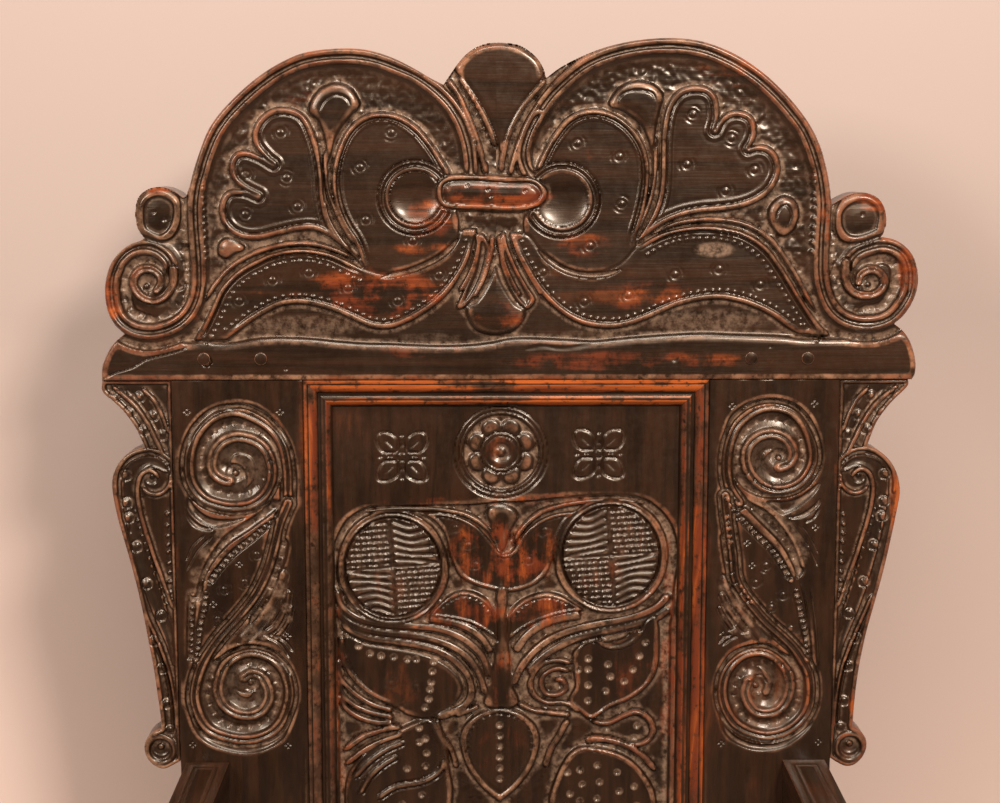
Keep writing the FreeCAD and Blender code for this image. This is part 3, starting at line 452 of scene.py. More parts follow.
    def settle(self, *spots):
        """Where dust has settled in the wax, in patches given in the same way. On the posts' stems and flutes the
        pale patches are also a painted highlight.
        """
        for spot in spots:
            self.lying = np.maximum(self.lying, self.patch(*spot))

    def roughen(self, amount, coarse, below):
        """Uneven tool marks over the whole face, and small pits where the ground is sunk below a level."""
        wave = softened(self.hand.normal(0, 1, self.u.shape), 3, 5)
        fine = softened(self.hand.normal(0, 1, self.u.shape), 3, 1)
        ground = np.clip((below - self.level) / 0.8, 0, 1)
        self.level += amount * wave / wave.std() + ground * coarse * fine / fine.std()

    def ease_edge(self, outline, radius):
        """Rounds the board's front edge over, and drops the net away outside it."""
        inward = self.depth_in(outline, radius + 2)
        drop = radius - np.sqrt(np.clip(radius ** 2 - np.clip(radius - inward, 0, radius) ** 2, 0, None))
        self.level = np.where(inward < radius, np.minimum(self.level, -drop), self.level)
        self.level[inward < CUT_FROM] = CUT_AWAY


def wear_highlight_and_dust_marks(face):
    """How proud and how sheltered each point is, from 0 to 1: polished on the ridges, where it also gives a painted
    highlight, and dusty in the hollows.
    """
    broad = softened(face.level, 2, 4)
    close = softened(face.level, 2, 1)
    proud = np.clip((close - broad - PROUD_FROM) / PROUD_OVER, 0, 1)
    sheltered = np.maximum(np.clip((broad - close - HOLLOW_FROM) / HOLLOW_OVER, 0, 1), face.lying)
    return proud, sheltered


def new_piece(name, bm, finish, node, sharp=50):
    """Makes a smooth-shaded piece that stands for a node of the frame. Its edges over sharp degrees stay crisp."""
    for cell in bm.faces:
        cell.smooth = True
    mesh = bpy.data.meshes.new(name)
    bm.to_mesh(mesh)
    bm.free()
    mesh.set_sharp_from_angle(angle=math.radians(sharp))
    mesh.materials.append(finish)
    piece = bpy.data.objects.new(name, mesh)
    bpy.context.scene.collection.objects.link(piece)
    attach(piece, "root")
    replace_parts(piece, node)


def carved_board(name, face, outline, thickness, finish, node, front=0.0, back_ease=1.5, edge=2.0, joints=()):
    """Turns a carved face into a solid board: the net is trimmed and drawn to the outline, and its edge is
    extruded to the back and closed. front is how far the board's face lies behind the back frame's face, edge how
    far its front edge is cut back, and joints the places across where it meets another board, flush."""
    closed = np.vstack([outline, outline[:1]])
    reach = 8.0
    away = np.full(face.u.shape, reach)
    edge_at = {"edge_u": face.u.copy(), "edge_v": face.v.copy(), "in_u": np.zeros_like(face.u),
               "in_v": np.zeros_like(face.u)}
    turns = 1 if np.sum(closed[:-1, 0] * closed[1:, 1] - closed[1:, 0] * closed[:-1, 1]) > 0 else -1
    for part, closer, _, a, run, share in face.steps(closed, reach, away):
        for word, found in (("edge_u", a[0] + share * run[0]), ("edge_v", a[1] + share * run[1]),
                            ("in_u", np.full_like(share, -run[1] * turns)),
                            ("in_v", np.full_like(share, run[0] * turns))):
            edge_at[word][part][closer] = found[closer]
    proud, sheltered = wear_highlight_and_dust_marks(face)
    rows, columns = face.u.shape
    bm = bmesh.new()
    bmesh.ops.create_grid(bm, x_segments=columns - 1, y_segments=rows - 1, size=0.5)
    bm.faces.ensure_lookup_table()
    outside = [cell for cell, keep in zip(bm.faces, face_cells_inside(face, outline).ravel()) if not keep]
    # the worn mark is real wear and also a painted highlight on the ridges, through the oak finish
    marked = {"worn": proud, "bare": face.bare, "dusty": sheltered, **edge_at}
    layers = {word: bm.verts.layers.float.new(word) for word in marked}
    bm.verts.ensure_lookup_table()
    for word, layer in layers.items():
        for vert, number in zip(bm.verts, marked[word].ravel().tolist()):
            vert[layer] = number
    for vert, spot in zip(bm.verts, on_back(face.u.ravel(), face.v.ravel(), front - face.level.ravel()).tolist()):
        vert.co = spot
    level_of = dict(zip(bm.verts, face.level.ravel()))
    bmesh.ops.delete(bm, geom=outside, context="FACES")

    def joined(vert):
        return any(abs(vert[layers["edge_u"]] - joint) < JOINT_SLIP for joint in joints)

    def set_wear(vert, amount):
        vert[layers["worn"]] = vert[layers["bare"]] = amount

    rim = [edge for edge in bm.edges if edge.is_boundary]
    for vert in {vert for rim_edge in rim for vert in rim_edge.verts}:
        depth = front - level_of[vert]
        if not joined(vert):
            depth = max(min(depth, front + EDGE_DEEPEST), front + edge)
            set_wear(vert, FRONT_EDGE_WORN if edge else 0.0)
        vert.co = on_back(vert[layers["edge_u"]], vert[layers["edge_v"]], depth).tolist()
    back = front + thickness
    for depth, inset in ((back - back_ease, 0.0), (back - back_ease * 0.3, back_ease * 0.3), (back, back_ease)):
        grown = bmesh.ops.extrude_edge_only(bm, edges=rim)
        rim = [item for item in grown_parts(grown, bmesh.types.BMEdge) if item.is_boundary]
        for vert in grown_parts(grown, bmesh.types.BMVert):
            set_wear(vert, BACK_EDGE_WORN if 0 < inset < back_ease and not joined(vert) else 0.0)
            vert[layers["dusty"]] = 0.0
            vert.co = on_back(vert[layers["edge_u"]] + (0 if joined(vert) else inset) * vert[layers["in_u"]],
                              vert[layers["edge_v"]] + inset * vert[layers["in_v"]], depth).tolist()
    bmesh.ops.triangle_fill(bm, use_beauty=False, use_dissolve=False, edges=rim)
    bmesh.ops.recalc_face_normals(bm, faces=bm.faces)
    for word in edge_at:
        bm.verts.layers.float.remove(bm.verts.layers.float[word])
    new_piece(name, bm, finish, node)


def face_cells_inside(face, outline):
    """True for each cell of the net whose middle is inside the outline."""
    middles = CarvedFace((face.across[1:] + face.across[:-1]) / 2, (face.up[1:] + face.up[:-1]) / 2, 0)
    return middles.within(outline)


def mixed(tree, share, first, second):
    """The first colour passing into the second as the share goes from 0 to 1."""
    return linked(tree, "ShaderNodeMix", set={"data_type": "RGBA"}, _0=share, _6=first, _7=second).outputs[2]


def times(tree, first, second):
    return linked(tree, "ShaderNodeMath", set={"operation": "MULTIPLY", "use_clamp": True}, _0=first,
                  _1=second).outputs[0]


def plus(tree, first, second):
    return linked(tree, "ShaderNodeMath", set={"operation": "ADD", "use_clamp": True}, _0=first,
                  _1=second).outputs[0]


def stepped(tree, value, low, high):
    """A smooth rise from 0 at low to 1 at high."""
    return linked(tree, "ShaderNodeMapRange", set={"interpolation_type": "SMOOTHSTEP"}, Value=value, From_Min=low,
                  From_Max=high).outputs[0]


def noise(tree, place, pattern, bend=0.0):
    """A cloudy pattern, given by its (scale, detail, roughness)."""
    scale, detail, roughness = pattern
    return linked(tree, "ShaderNodeTexNoise", Vector=place, Scale=scale, Detail=detail, Roughness=roughness,
                  Distortion=bend).outputs[0]


# colours, as they are in light
BLACK_OAK = (0.0082, 0.0030, 0.0011, 1.0)
BROWN_OAK = (0.0245, 0.0090, 0.0036, 1.0)
# pale oak for the ridges: partly real polish, partly a painted highlight
POLISHED_AND_HIGHLIGHT_OAK = (0.280, 0.142, 0.0800, 1.0)
RED_OAK = (0.120, 0.0215, 0.0065, 1.0)
AMBER_OAK = (0.380, 0.082, 0.0130, 1.0)
OLD_DUST = (0.385, 0.237, 0.152, 1.0)
WAX_SHINE = (1.0, 0.80, 0.62, 1.0)
WAX_LEVEL, WAX_COAT, WAX_COAT_ROUGH = 0.42, 0.35, 0.20
# patterns in the wood: scale, detail, roughness
FIBRE, PORE, CLOUD = (1.6, 6.0, 0.62), (9.0, 2.0, 0.5), (9.0, 4.0, 0.6)
SPECK, BLOTCH = (160.0, 3.0, 0.7), (42.0, 5.0, 0.65)
ALONG, ACROSS = 3.0, 60.0
GRAIN_STRENGTH, GRAIN_HEIGHT = 0.35, 0.0012


def waxed_oak(name, grain, rub=0.62, rub_spots=0.15, dust=0.46, gloss=0.28, tone=1.0, polish_and_highlight=0.85, amber=0.48):
    """Old oak under black wax. grain is the axis the fibres run along. The ridges are painted pale in broken
    stretches, partly real polish and partly a painted highlight. Wear shows orange where the wax is rubbed off the
    ridges and in patches, and dust lies in the hollows."""
    finish, tree, shader, place = new_finish(name)
    stretch = [ALONG if axis == grain else ACROSS for axis in "XYZ"]
    along = linked(tree, "ShaderNodeMapping", Vector=place, Scale=stretch).outputs[0]
    fibre, pores = noise(tree, along, FIBRE, bend=0.35), noise(tree, along, PORE)
    cloud, speck, blotch = (noise(tree, place, pattern) for pattern in (CLOUD, SPECK, BLOTCH))
    proud, bare, hollow = (linked(tree, "ShaderNodeAttribute", set={"attribute_name": word}).outputs["Fac"]
                           for word in ("worn", "bare", "dusty"))
    # black wax with brown fibres and clouds
    dark, brown = (tuple(part * tone for part in colour[:3]) + (1.0,) for colour in (BLACK_OAK, BROWN_OAK))
    base = mixed(tree, stepped(tree, fibre, 0.36, 0.66), dark, brown)
    base = mixed(tree, times(tree, stepped(tree, cloud, 0.45, 0.75), 0.4), base, brown)
    # ridges painted pale, in broken stretches: partly real polish, partly a painted highlight
    ridge = times(tree, stepped(tree, proud, 0.25, 0.90), stepped(tree, speck, 0.25, 0.60))
    ridge = times(tree, ridge, plus(tree, 0.30, times(tree, stepped(tree, blotch, 0.42, 0.60), 0.70)))
    base = mixed(tree, times(tree, ridge, polish_and_highlight), base, POLISHED_AND_HIGHLIGHT_OAK)
    # bare wood: on sharp edges, in the patches that hands rub, and in spots anywhere
    edge = times(tree, stepped(tree, proud, 0.42, 0.95), times(tree, stepped(tree, cloud, 0.40, 0.60), rub))
    edge = times(tree, edge, stepped(tree, speck, 0.32, 0.58))
    streaks = plus(tree, times(tree, stepped(tree, fibre, 0.34, 0.60), 0.45),
                   times(tree, stepped(tree, cloud, 0.45, 0.60), 0.3))
    streaks = plus(tree, streaks, times(tree, stepped(tree, blotch, 0.40, 0.62), 0.5))
    region = times(tree, stepped(tree, times(tree, bare, streaks), 0.26, 0.85), stepped(tree, speck, 0.26, 0.50))
    spots = times(tree, stepped(tree, cloud, 0.58, 0.72), stepped(tree, fibre, 0.46, 0.62))
    worn = plus(tree, plus(tree, edge, region), times(tree, spots, rub_spots))
    rubbed = mixed(tree, stepped(tree, fibre, amber, amber + 0.28), RED_OAK, AMBER_OAK)
    base = mixed(tree, worn, base, rubbed)
    uneven = plus(tree, times(tree, speck, 0.5), times(tree, cloud, 0.5))
    roughness = linked(tree, "ShaderNodeMapRange", Value=uneven, From_Min=0.25, From_Max=0.75, To_Min=gloss - 0.08,
                       To_Max=gloss + 0.20).outputs[0]
    if dust:
        lying = times(tree, stepped(tree, hollow, 0.12, 0.90), stepped(tree, speck, 0.30, 0.72))
        lying = times(tree, lying, dust)
        base = mixed(tree, lying, base, OLD_DUST)
        roughness = plus(tree, roughness, times(tree, lying, 0.45))
    lines = plus(tree, times(tree, fibre, 0.5), times(tree, pores, 0.35))
    lines = plus(tree, lines, times(tree, speck, 0.15))
    bump = linked(tree, "ShaderNodeBump", Strength=GRAIN_STRENGTH, Distance=GRAIN_HEIGHT, Height=lines).outputs[0]
    for socket, given in (("Base Color", base), ("Roughness", roughness), ("Normal", bump)):
        tree.links.new(given, shader.inputs[socket])
    for socket, given in (("Coat Weight", WAX_COAT), ("Coat Roughness", WAX_COAT_ROUGH),
                          ("Specular IOR Level", WAX_LEVEL), ("Specular Tint", WAX_SHINE)):
        shader.inputs[socket].default_value = given
    return finish


crest_oak = waxed_oak("crest_oak", "X")

CREST_GROUND = -5.5
LEFT_EDGE = [
    (-313.5, 0), (-313.5, 0), (-313, 10), (-310, 18), (-305, 27), (-298, 34), (-295, 36), (-295, 36), (-302, 43),
    (-307, 53), (-309, 66), (-308, 78), (-304, 90), (-297, 99), (-289, 105), (-281, 108), (-278, 110), (-278, 110),
    (-282, 116), (-284, 124), (-284, 132), (-282, 140), (-277, 145.5), (-270, 148.5), (-262, 148.5), (-254, 145.5),
    (-248, 141), (-245, 142), (-245, 142), (-242, 150), (-239, 161), (-234.5, 174), (-228, 190), (-220, 202),
    (-210, 213), (-197, 225), (-183, 235.5), (-170, 243), (-156, 249), (-140, 252), (-124, 253), (-110, 252.5),
    (-98, 250), (-84, 245), (-70, 238), (-58, 231), (-48, 226), (-48, 226), (-44, 232), (-38, 240.5), (-31, 248.5),
    (-23, 254), (-14, 257), (-4, 257.5),
]
RIGHT_EDGE = [
    (8, 256), (16, 252), (23, 246), (28, 238), (30, 231), (30, 231), (40, 238.5), (52, 245), (66, 251), (80, 255.5),
    (94, 258.5), (110, 260.5), (126, 261), (140, 260), (152, 257.5), (166, 252.5), (180, 245.5), (196, 234.5),
    (210, 222), (222, 209), (232, 195.5), (240, 180), (245, 164), (248, 150), (250, 135), (250, 135), (255, 138),
    (262, 142), (270, 144.5), (278, 144), (286, 140), (291, 132), (292.5, 122), (291, 114), (288, 110), (288, 110),
    (298, 109), (307, 104), (314, 96), (318, 84), (318.3, 72), (315, 61), (309, 51), (301, 43.5), (301, 43.5),
    (307, 39), (312.5, 32), (316, 24), (318.5, 14), (318.5, 5), (316, 0), (316, 0),
]
crest_edge = ring_through(LEFT_EDGE + RIGHT_EDGE)

RIM = [(-6.2, -3.0), (-5.0, -0.2), (-3.2, 0.2), (-1.7, -0.7), (-0.4, -2.8), (0.9, -2.6), (2.0, -0.8), (3.2, -0.3),
       (4.4, -1.2), (6.0, -3.0), (9.0, -4.6), (13.0, -5.4)]
CORD = [(-3.6, -3.4), (-2.6, -0.4), (-1.4, 0.0), (0.0, -1.5), (1.4, 0.0), (2.6, -0.4), (3.6, -3.4)]
LIPPED = [(0, -0.9), (1.0, -0.1), (2.2, -0.2), (3.3, -1.3), (4.3, -2.3), (5.2, -1.4), (6.2, -0.7), (7.2, -0.9),
          (8.6, -1.8), (12, -1.6)]
BOWL_RIM = [(-4.2, -2.4), (-3.2, -0.2), (-2.0, 0.3), (-0.8, -1.4), (0.6, -1.6), (1.6, 0.1), (2.8, 0.4), (4.0, -0.4),
            (5.2, -2.4)]
PLAIN_LEAF = [(0, -1.6), (1.2, -0.8), (3.0, -0.7), (8, -0.9)]
BUD = [(0, -3.0), (2, -1.6), (5, -0.8), (10, -0.4)]

BASE_RAIL_TOP = [
    (-330, 46), (-306, 37), (-292, 31), (-276, 27.5), (-262, 26.5), (-248, 28), (-234, 29), (-220, 27.5), (-206, 29),
    (-190, 31.5), (-170, 32), (-150, 31), (-130, 29), (-110, 27.5), (-90, 27), (-70, 26), (-50, 25.5), (-30, 26),
    (-12, 28), (0, 30.5), (12, 31.5), (30, 31), (50, 30), (66, 29), (84, 30.5), (100, 32), (120, 33.5), (150, 35),
    (180, 34), (210, 33), (235, 31), (262, 31), (285, 32), (300, 36), (312, 34), (330, 20),
]
LEFT_PALMETTE = [
    (-112, 92), (-112, 92), (-122, 102), (-131, 113), (-137, 125), (-140, 142), (-141, 158), (-143, 174), (-147, 188),
    (-152.5, 200), (-160, 206), (-170, 208), (-180, 206), (-188, 199.5), (-192.5, 190), (-191, 180), (-184, 171),
    (-178, 166), (-178, 166), (-188, 172), (-198, 175.5), (-206, 174), (-210.5, 167), (-210, 159), (-206, 152),
    (-199, 146.5), (-190, 142), (-190, 142), (-200, 146), (-210, 146), (-216.5, 141), (-219, 132), (-217, 122),
    (-210, 114), (-200, 110), (-188, 110), (-174, 113.5), (-160, 116.5), (-148, 117), (-138, 113), (-128, 106),
    (-118, 98), (-112, 92),
]
RIGHT_PALMETTE = [
    (100, 107), (100, 107), (108, 120), (114, 132), (117.5, 145), (118.5, 160), (118.5, 175), (119, 190), (121, 204),
    (125, 214), (132, 221.5), (142, 224.5), (152, 223.5), (158.5, 218), (161, 209), (161, 200), (159, 192),
    (159, 192), (164, 201), (172, 205.5), (181, 205), (187.5, 200.5), (190, 192), (188.5, 184), (185, 178),
    (185, 178), (192, 180), (200, 178.5), (206.5, 172), (209, 162), (206, 152), (200, 144), (190, 137.5),
    (178, 133.5), (164, 131.5), (148, 130), (134, 127), (120, 121), (109, 113.5), (100, 107),
]
LEFT_BIG_LEAF = [
    (-110, 87), (-110, 87), (-113, 98), (-117, 108), (-124, 119), (-130, 133), (-133, 150), (-132, 164), (-128, 178),
    (-122, 190), (-114, 198.5), (-104, 203.5), (-92, 204.5), (-80, 201.5), (-68, 193.5), (-58, 182), (-50, 170),
    (-43, 158), (-40, 145), (-38, 128), (-36, 112), (-36, 112), (-40, 104), (-48, 96), (-60, 89), (-75, 83),
    (-92, 82),
]
RIGHT_BIG_LEAF = [
    (100, 102), (100, 102), (100, 112), (104, 126), (107.5, 142), (109, 158), (107, 174), (101, 187), (92, 197),
    (82, 203.5), (70, 207), (58, 206), (46, 200), (36, 188), (28, 174), (22, 160), (18, 145), (14, 128), (14, 128),
    (14, 112), (22, 101), (32, 92), (46, 85), (60, 82), (78, 83), (92, 88),
]
LEFT_SWEEP = [
    (-24, 116), (-24, 116), (-26, 104), (-30, 92), (-36, 81), (-44, 70), (-54, 60), (-66, 51.5), (-78, 45), (-90, 41),
    (-104, 41.5), (-117, 47), (-130, 53), (-144, 57.5), (-158, 60), (-172, 59), (-184, 54), (-196, 47), (-207, 39),
    (-216, 32), (-216, 32), (-228, 31), (-240, 32), (-240, 32), (-233, 44), (-227, 56), (-221, 69), (-213, 79),
    (-203, 87), (-192, 93), (-182, 97.5), (-170, 100.5), (-158, 101.5), (-146, 100.5), (-134, 97.5), (-122, 92),
    (-108, 85), (-108, 85), (-96, 82), (-80, 84), (-62, 89), (-48, 96), (-38, 108), (-34, 116),
]
RIGHT_SWEEP = [
    (3, 113), (3, 113), (9, 97), (16, 84), (25, 70), (36, 58), (48, 49), (60, 43.5), (74, 41), (88, 41.5), (104, 46),
    (118, 52), (132, 58), (148, 62), (164, 63.5), (178, 61.5), (192, 57), (206, 50), (217, 42), (226, 36), (226, 36),
    (238, 35), (250, 35), (250, 35), (242, 43), (234, 54), (226, 66), (218, 79), (210, 91), (202, 101), (192, 109),
    (180, 115), (166, 118), (152, 119), (138, 118), (124, 115), (112, 110), (100, 103), (100, 103), (88, 90),
    (72, 84), (54, 84), (38, 91), (26, 100), (16, 112),
]


def carve_crest(face):
    face.shape(crest_edge, [(0, CREST_GROUND), (4, CREST_GROUND)], wall=0.2)
    # the smooth, dusty hollow under the sweeping leaves
    face.shape(ring_through([
        (-224, 10), (-224, 10), (222, 10), (222, 10), (216, 50), (150, 75), (60, 64), (30, 78), (-5, 98), (-40, 78),
        (-60, 64), (-120, 64), (-160, 72), (-214, 52)
    ]), [(0, -4.4), (4, -4.2)], wall=3.0)
    face.settle((-158, 42, 50, 9, 0.5), (152, 46, 54, 10, 0.5), (160, 101, 15, 6, 0.8), (-60, 33, 30, 4, 0.35),
                (70, 35, 36, 5, 0.35))
    base = ring_through([(-330, -12), (-330, -12)] + BASE_RAIL_TOP + [(330, 20), (330, -12), (330, -12)])
    face.shape(base, [(0, -1.4), (2.0, -0.4), (4.5, 0)], wall=2.6)
    # end scrolls: a dished channel with gouge stamps, round a hollow with a bead
    for centre, wide, high in (((-279, 73), 31, 35), ((282, 78), 32, 32)):
        face.shape(ring_line(centre, wide, high), [(0, -3.4), (9, -4.6), (16, -3.6), (24, -2.6), (34, -3.4)])
    # rims of the two arches, each a double ridge that winds on round its end scroll
    left_rim = line_through([
        (-27, 158), (-27.5, 170), (-30, 184), (-35, 198), (-43, 211), (-54, 222), (-68, 232), (-84, 239), (-98, 244),
        (-111, 246.5), (-124, 247), (-140, 246), (-155, 243), (-168, 237.5), (-180, 230.5), (-193, 220.5),
        (-205.5, 209), (-215, 198.5), (-222.5, 187), (-229, 172), (-233, 159), (-236, 149), (-238, 135), (-238, 118),
        (-237, 100), (-236.5, 84), (-237.5, 70), (-242, 57), (-250, 47), (-261, 40.5), (-274, 37.5), (-286, 39),
        (-296, 45), (-302, 55), (-304, 68), (-303, 80), (-298, 92), (-290, 100), (-279, 103.5), (-268, 101),
        (-260, 94), (-256.5, 84),
    ])
    right_rim = line_through([
        (20, 156), (14.5, 165), (13, 177), (17, 191), (24, 204), (33, 217), (44, 228), (56, 238), (69, 245),
        (82, 249.5), (95, 252.5), (110, 254.5), (126, 255), (139, 254), (151, 251.5), (163, 247), (177, 240),
        (192, 230), (205.5, 218), (217, 205.5), (227, 192.5), (234, 178), (239, 163), (242, 149), (243.5, 134),
        (243, 115), (242.5, 98), (243, 82), (246, 68), (252, 56), (261, 48), (273, 44), (286, 44), (297, 48),
        (305, 56), (311, 67), (312.5, 79), (310.5, 91), (304, 100), (293, 104.5), (281, 103), (270, 98), (263, 89),
    ])
    face.run(left_rim, RIM)
    face.run(right_rim, [(-offset, level) for offset, level in RIM[::-1]])
    for rim, disc in ((left_rim, ((-279, 73), 31, 35)), (right_rim, ((282, 78), 32, 32))):
        face.run(rim[-150:],
                 [(-14, -5.6), (-11, -5.4), (-8, -4.4), (-6.2, -3.0), (6.2, -3.0), (8, -4.4), (11, -5.4), (14, -5.6)],
                 outline=ring_line(*disc))
    face.run(left_rim, RIM[:10])
    face.run(right_rim, [(-offset, level) for offset, level in RIM[9::-1]])
    for winding in (
        [(-256.5, 86), (-257, 76), (-262, 67), (-270, 62.5), (-279, 64), (-285, 70), (-287, 78), (-282, 85),
         (-274, 86.5), (-267, 82), (-265.5, 75), (-269, 70)],
        [(262.5, 91), (262.5, 79), (266, 71), (273, 66.5), (282, 66), (289.5, 70), (292, 77), (288, 83.5),
         (281, 85.5), (274, 82), (272, 76)],
    ):
        face.run(line_through(winding), CORD, wall=1.0)
    for hollow, bead in (((-277, 75), (-277.5, 73)), ((281, 75), (280, 74))):
        face.dome(hollow, 7.0, -2.0)
        face.dome(bead, 2.6, 2.4)
    for channel in (
        [(-248, 124), (-247.5, 100), (-246.5, 84), (-247.5, 70), (-253, 59), (-263, 51.5), (-276, 49), (-287, 52),
         (-294, 60), (-296, 72), (-293, 84), (-286, 93)],
        [(252, 122), (252, 100), (252, 84), (255, 70), (262, 59.5), (273, 55), (286, 54.5), (297, 60), (303, 70),
         (304, 82), (299, 92), (289, 97)],
    ):
        face.crescents(line_through(channel), 8.5, 3.2, 0.9)
    face.pearls(line_through([(-231.5, 154), (-231.5, 136), (-231, 114), (-230.5, 92)]), 5.2, 1.5, 1.4)
    face.pearls(line_through([(235, 160), (236, 140), (236, 118), (235, 94)]), 6.4, 1.9, 1.4)
    for palmette in (LEFT_PALMETTE, RIGHT_PALMETTE):
        face.shape(line_through(palmette), LIPPED)
    for leaf in (LEFT_BIG_LEAF, RIGHT_BIG_LEAF, LEFT_SWEEP, RIGHT_SWEEP):
        face.shape(ring_through(leaf), PLAIN_LEAF)
    # lips round the big leaves and along the sweeping ones
    for edge in (LEFT_BIG_LEAF[1:19], RIGHT_BIG_LEAF[1:17]):
        line = line_through(edge)
        side = math.copysign(1, edge[0][0])
        for offset, half, top in ((1.6, 1.9, 0.3), (6.4, 1.7, 0.0)):
            face.rib(shifted(line, offset * side), half, top, -2.2)
        face.vein(shifted(line, 4.0 * side), 1.7, 1.5)
    for edge, side in ((LEFT_SWEEP[1:20], -1), (RIGHT_SWEEP[1:20], 1)):
        line = line_through(edge)
        face.rib(shifted(line, 1.9 * side), 2.0, 0.3, -2.0)
        face.vein(shifted(line, 4.6 * side), 1.2, 0.9)
        face.pearls(shifted(line, 6.4 * side), 5.8, 1.3, 0.9)
    for edge, side in ((LEFT_SWEEP[23:37], -1), (RIGHT_SWEEP[23:38], 1)):
        line = line_through(edge)
        face.rib(shifted(line, 1.5 * side), 1.7, 0.4, -2.0)
        face.vein(shifted(line, 3.8 * side), 1.5, 1.6)
        face.rib(shifted(line, 5.8 * side), 1.5, 0.2, -2.0)
        face.pearls(shifted(line, 9.2 * side), 5.4, 1.6, 1.0)
    # the gouge that parts each big leaf from the sweeping leaf under it
    face.vein(line_through([(-37, 110), (-46, 100), (-58, 92), (-74, 85), (-88, 81.5), (-97, 79.5)]), 2.6, 2.6)
    face.vein(line_through([(24, 101), (34, 92), (46, 85), (60, 81.5), (76, 82), (89, 86)]), 2.6, 2.6)
    # stems that gather under the palmettes
    for stem in (
        [(-233, 60), (-226, 72), (-216, 84), (-206, 92), (-192, 99), (-176, 104), (-160, 106), (-146, 105),
         (-132, 101), (-116, 94)],
        [(-120, 100), (-128, 110), (-136, 124), (-140, 140)],
        [(-116, 104), (-124, 116), (-131, 130), (-136.5, 146), (-138, 162), (-139, 178)],
    ):
        face.rib(line_through(stem), 2.0, -0.4, -4.5)
    for stem in (
        [(240, 52), (232, 66), (223, 82), (213, 97), (204, 108), (193, 116), (180, 121.5), (164, 124), (148, 124),
         (130, 121), (112, 113)],
        [(101, 112), (106, 126), (111, 142), (113.5, 158), (114, 176), (114, 192)],
    ):
        face.rib(line_through(stem), 2.0, -0.4, -4.5)
    # small buds between the leaves
    for bud in (
        [(-150, 206), (-147, 216), (-139, 224), (-128, 226.5), (-118, 222), (-112.5, 212), (-117, 205), (-124, 196),
         (-131, 184), (-135.5, 168), (-138, 184), (-143, 198)],
        [(79, 210), (82, 219), (90, 226), (100, 228.5), (111, 226), (119, 218), (117.5, 206), (115, 196),
         (113.5, 184), (111, 172), (107, 186), (101, 197), (90, 205)],
        [(-221, 98), (-220, 106), (-213, 110), (-206, 107), (-202, 102), (-208, 98), (-215, 95)],
        [(202, 126), (204, 135), (212, 141), (221, 138), (224.5, 128), (221, 117), (213, 112), (206, 117)],
    ):
        face.shape(ring_through(bud), BUD)
    face.vein(line_through([(-143, 205), (-139, 213), (-131, 218), (-122, 216), (-117, 208)]), 1.2, 0.9)
    face.vein(line_through([(84, 212), (88, 219), (98, 222), (110, 220), (114, 214)]), 1.2, 0.9)
    face.vein(line_through([(207, 122), (209, 131), (215, 135), (219, 128), (217, 120)]), 1.2, 1.1)
    # little leaves above the end scrolls
    for knob in (
        [(-278, 112), (-282, 118), (-283, 126), (-282, 137), (-276, 144.5), (-267, 147.5), (-258, 145.5), (-250, 138),
         (-250, 124), (-256, 112), (-266, 107)],
        [(288, 112), (291, 120), (291.5, 129), (287, 138), (279, 143), (270, 143.5), (260, 139.5), (253, 131),
         (253, 118), (260, 108), (272, 106)],
    ):
        face.shape(ring_through(knob), [(0, -2.4), (2.4, -0.6), (4.2, -0.5), (6.5, -2.6), (14, -1.6)])
    # finial bud and the reeds that carry it
    face.shape(ring_through([
        (-33, 228), (-38, 238), (-32, 246), (-23, 252.5), (-13, 255.5), (-3, 256), (8, 254), (16, 250), (23, 244),
        (27, 236), (26, 229), (16, 216), (7, 202), (0, 188), (-4, 176), (-8, 186), (-14, 200), (-22, 214)
    ]), [(0, -2.0), (1.6, -0.6), (4, -0.2), (12, 0.0)])
    for reed in (
        [(-45, 230), (-37, 219), (-30, 204), (-23, 186), (-18, 168), (-15, 158)],
        [(-36, 232), (-25, 216), (-15, 198), (-8, 180)],
        [(30, 230), (20, 219), (10, 206), (2, 190), (-3, 172), (-4, 160)],
        [(29, 207), (20, 203), (14, 192), (8, 178), (4, 164), (3, 158)],
    ):
        face.rib(line_through(reed), 2.6, 0.2, -4.5, ends=0.04)
    face.pearls(line_through([(-33, 226), (-24, 210), (-17, 194), (-12, 178)]), 5.6, 1.6, 1.6)
    # dished eyes of the big leaves
    for centre, radius, ring in (((-70, 141), 19.5, 24.5), ((42.5, 139), 20.5, 25)):
        start, stop = (28, 332) if centre[0] < 0 else (-152, 152)
        face.run(ring_line(centre, ring, ring, start, stop), BOWL_RIM, wall=1.2)
        face.bowl(centre, radius, 4.3)
    # clasp
    clasp = ring_through([
        (-53, 140), (-53, 151), (-45, 157.5), (-28, 158.5), (0, 157), (18, 156.5), (27, 152), (31, 144), (27, 136),
        (18, 131.5), (0, 130.5), (-20, 131.5), (-40, 132), (-49, 134)
    ])
    face.shape(clasp, [(0, -1.5), (1.4, 0.9), (3.2, 1.0), (4.6, -0.8), (6.2, 0.3), (8.5, 1.6), (14, 2.2)], wall=1.6)
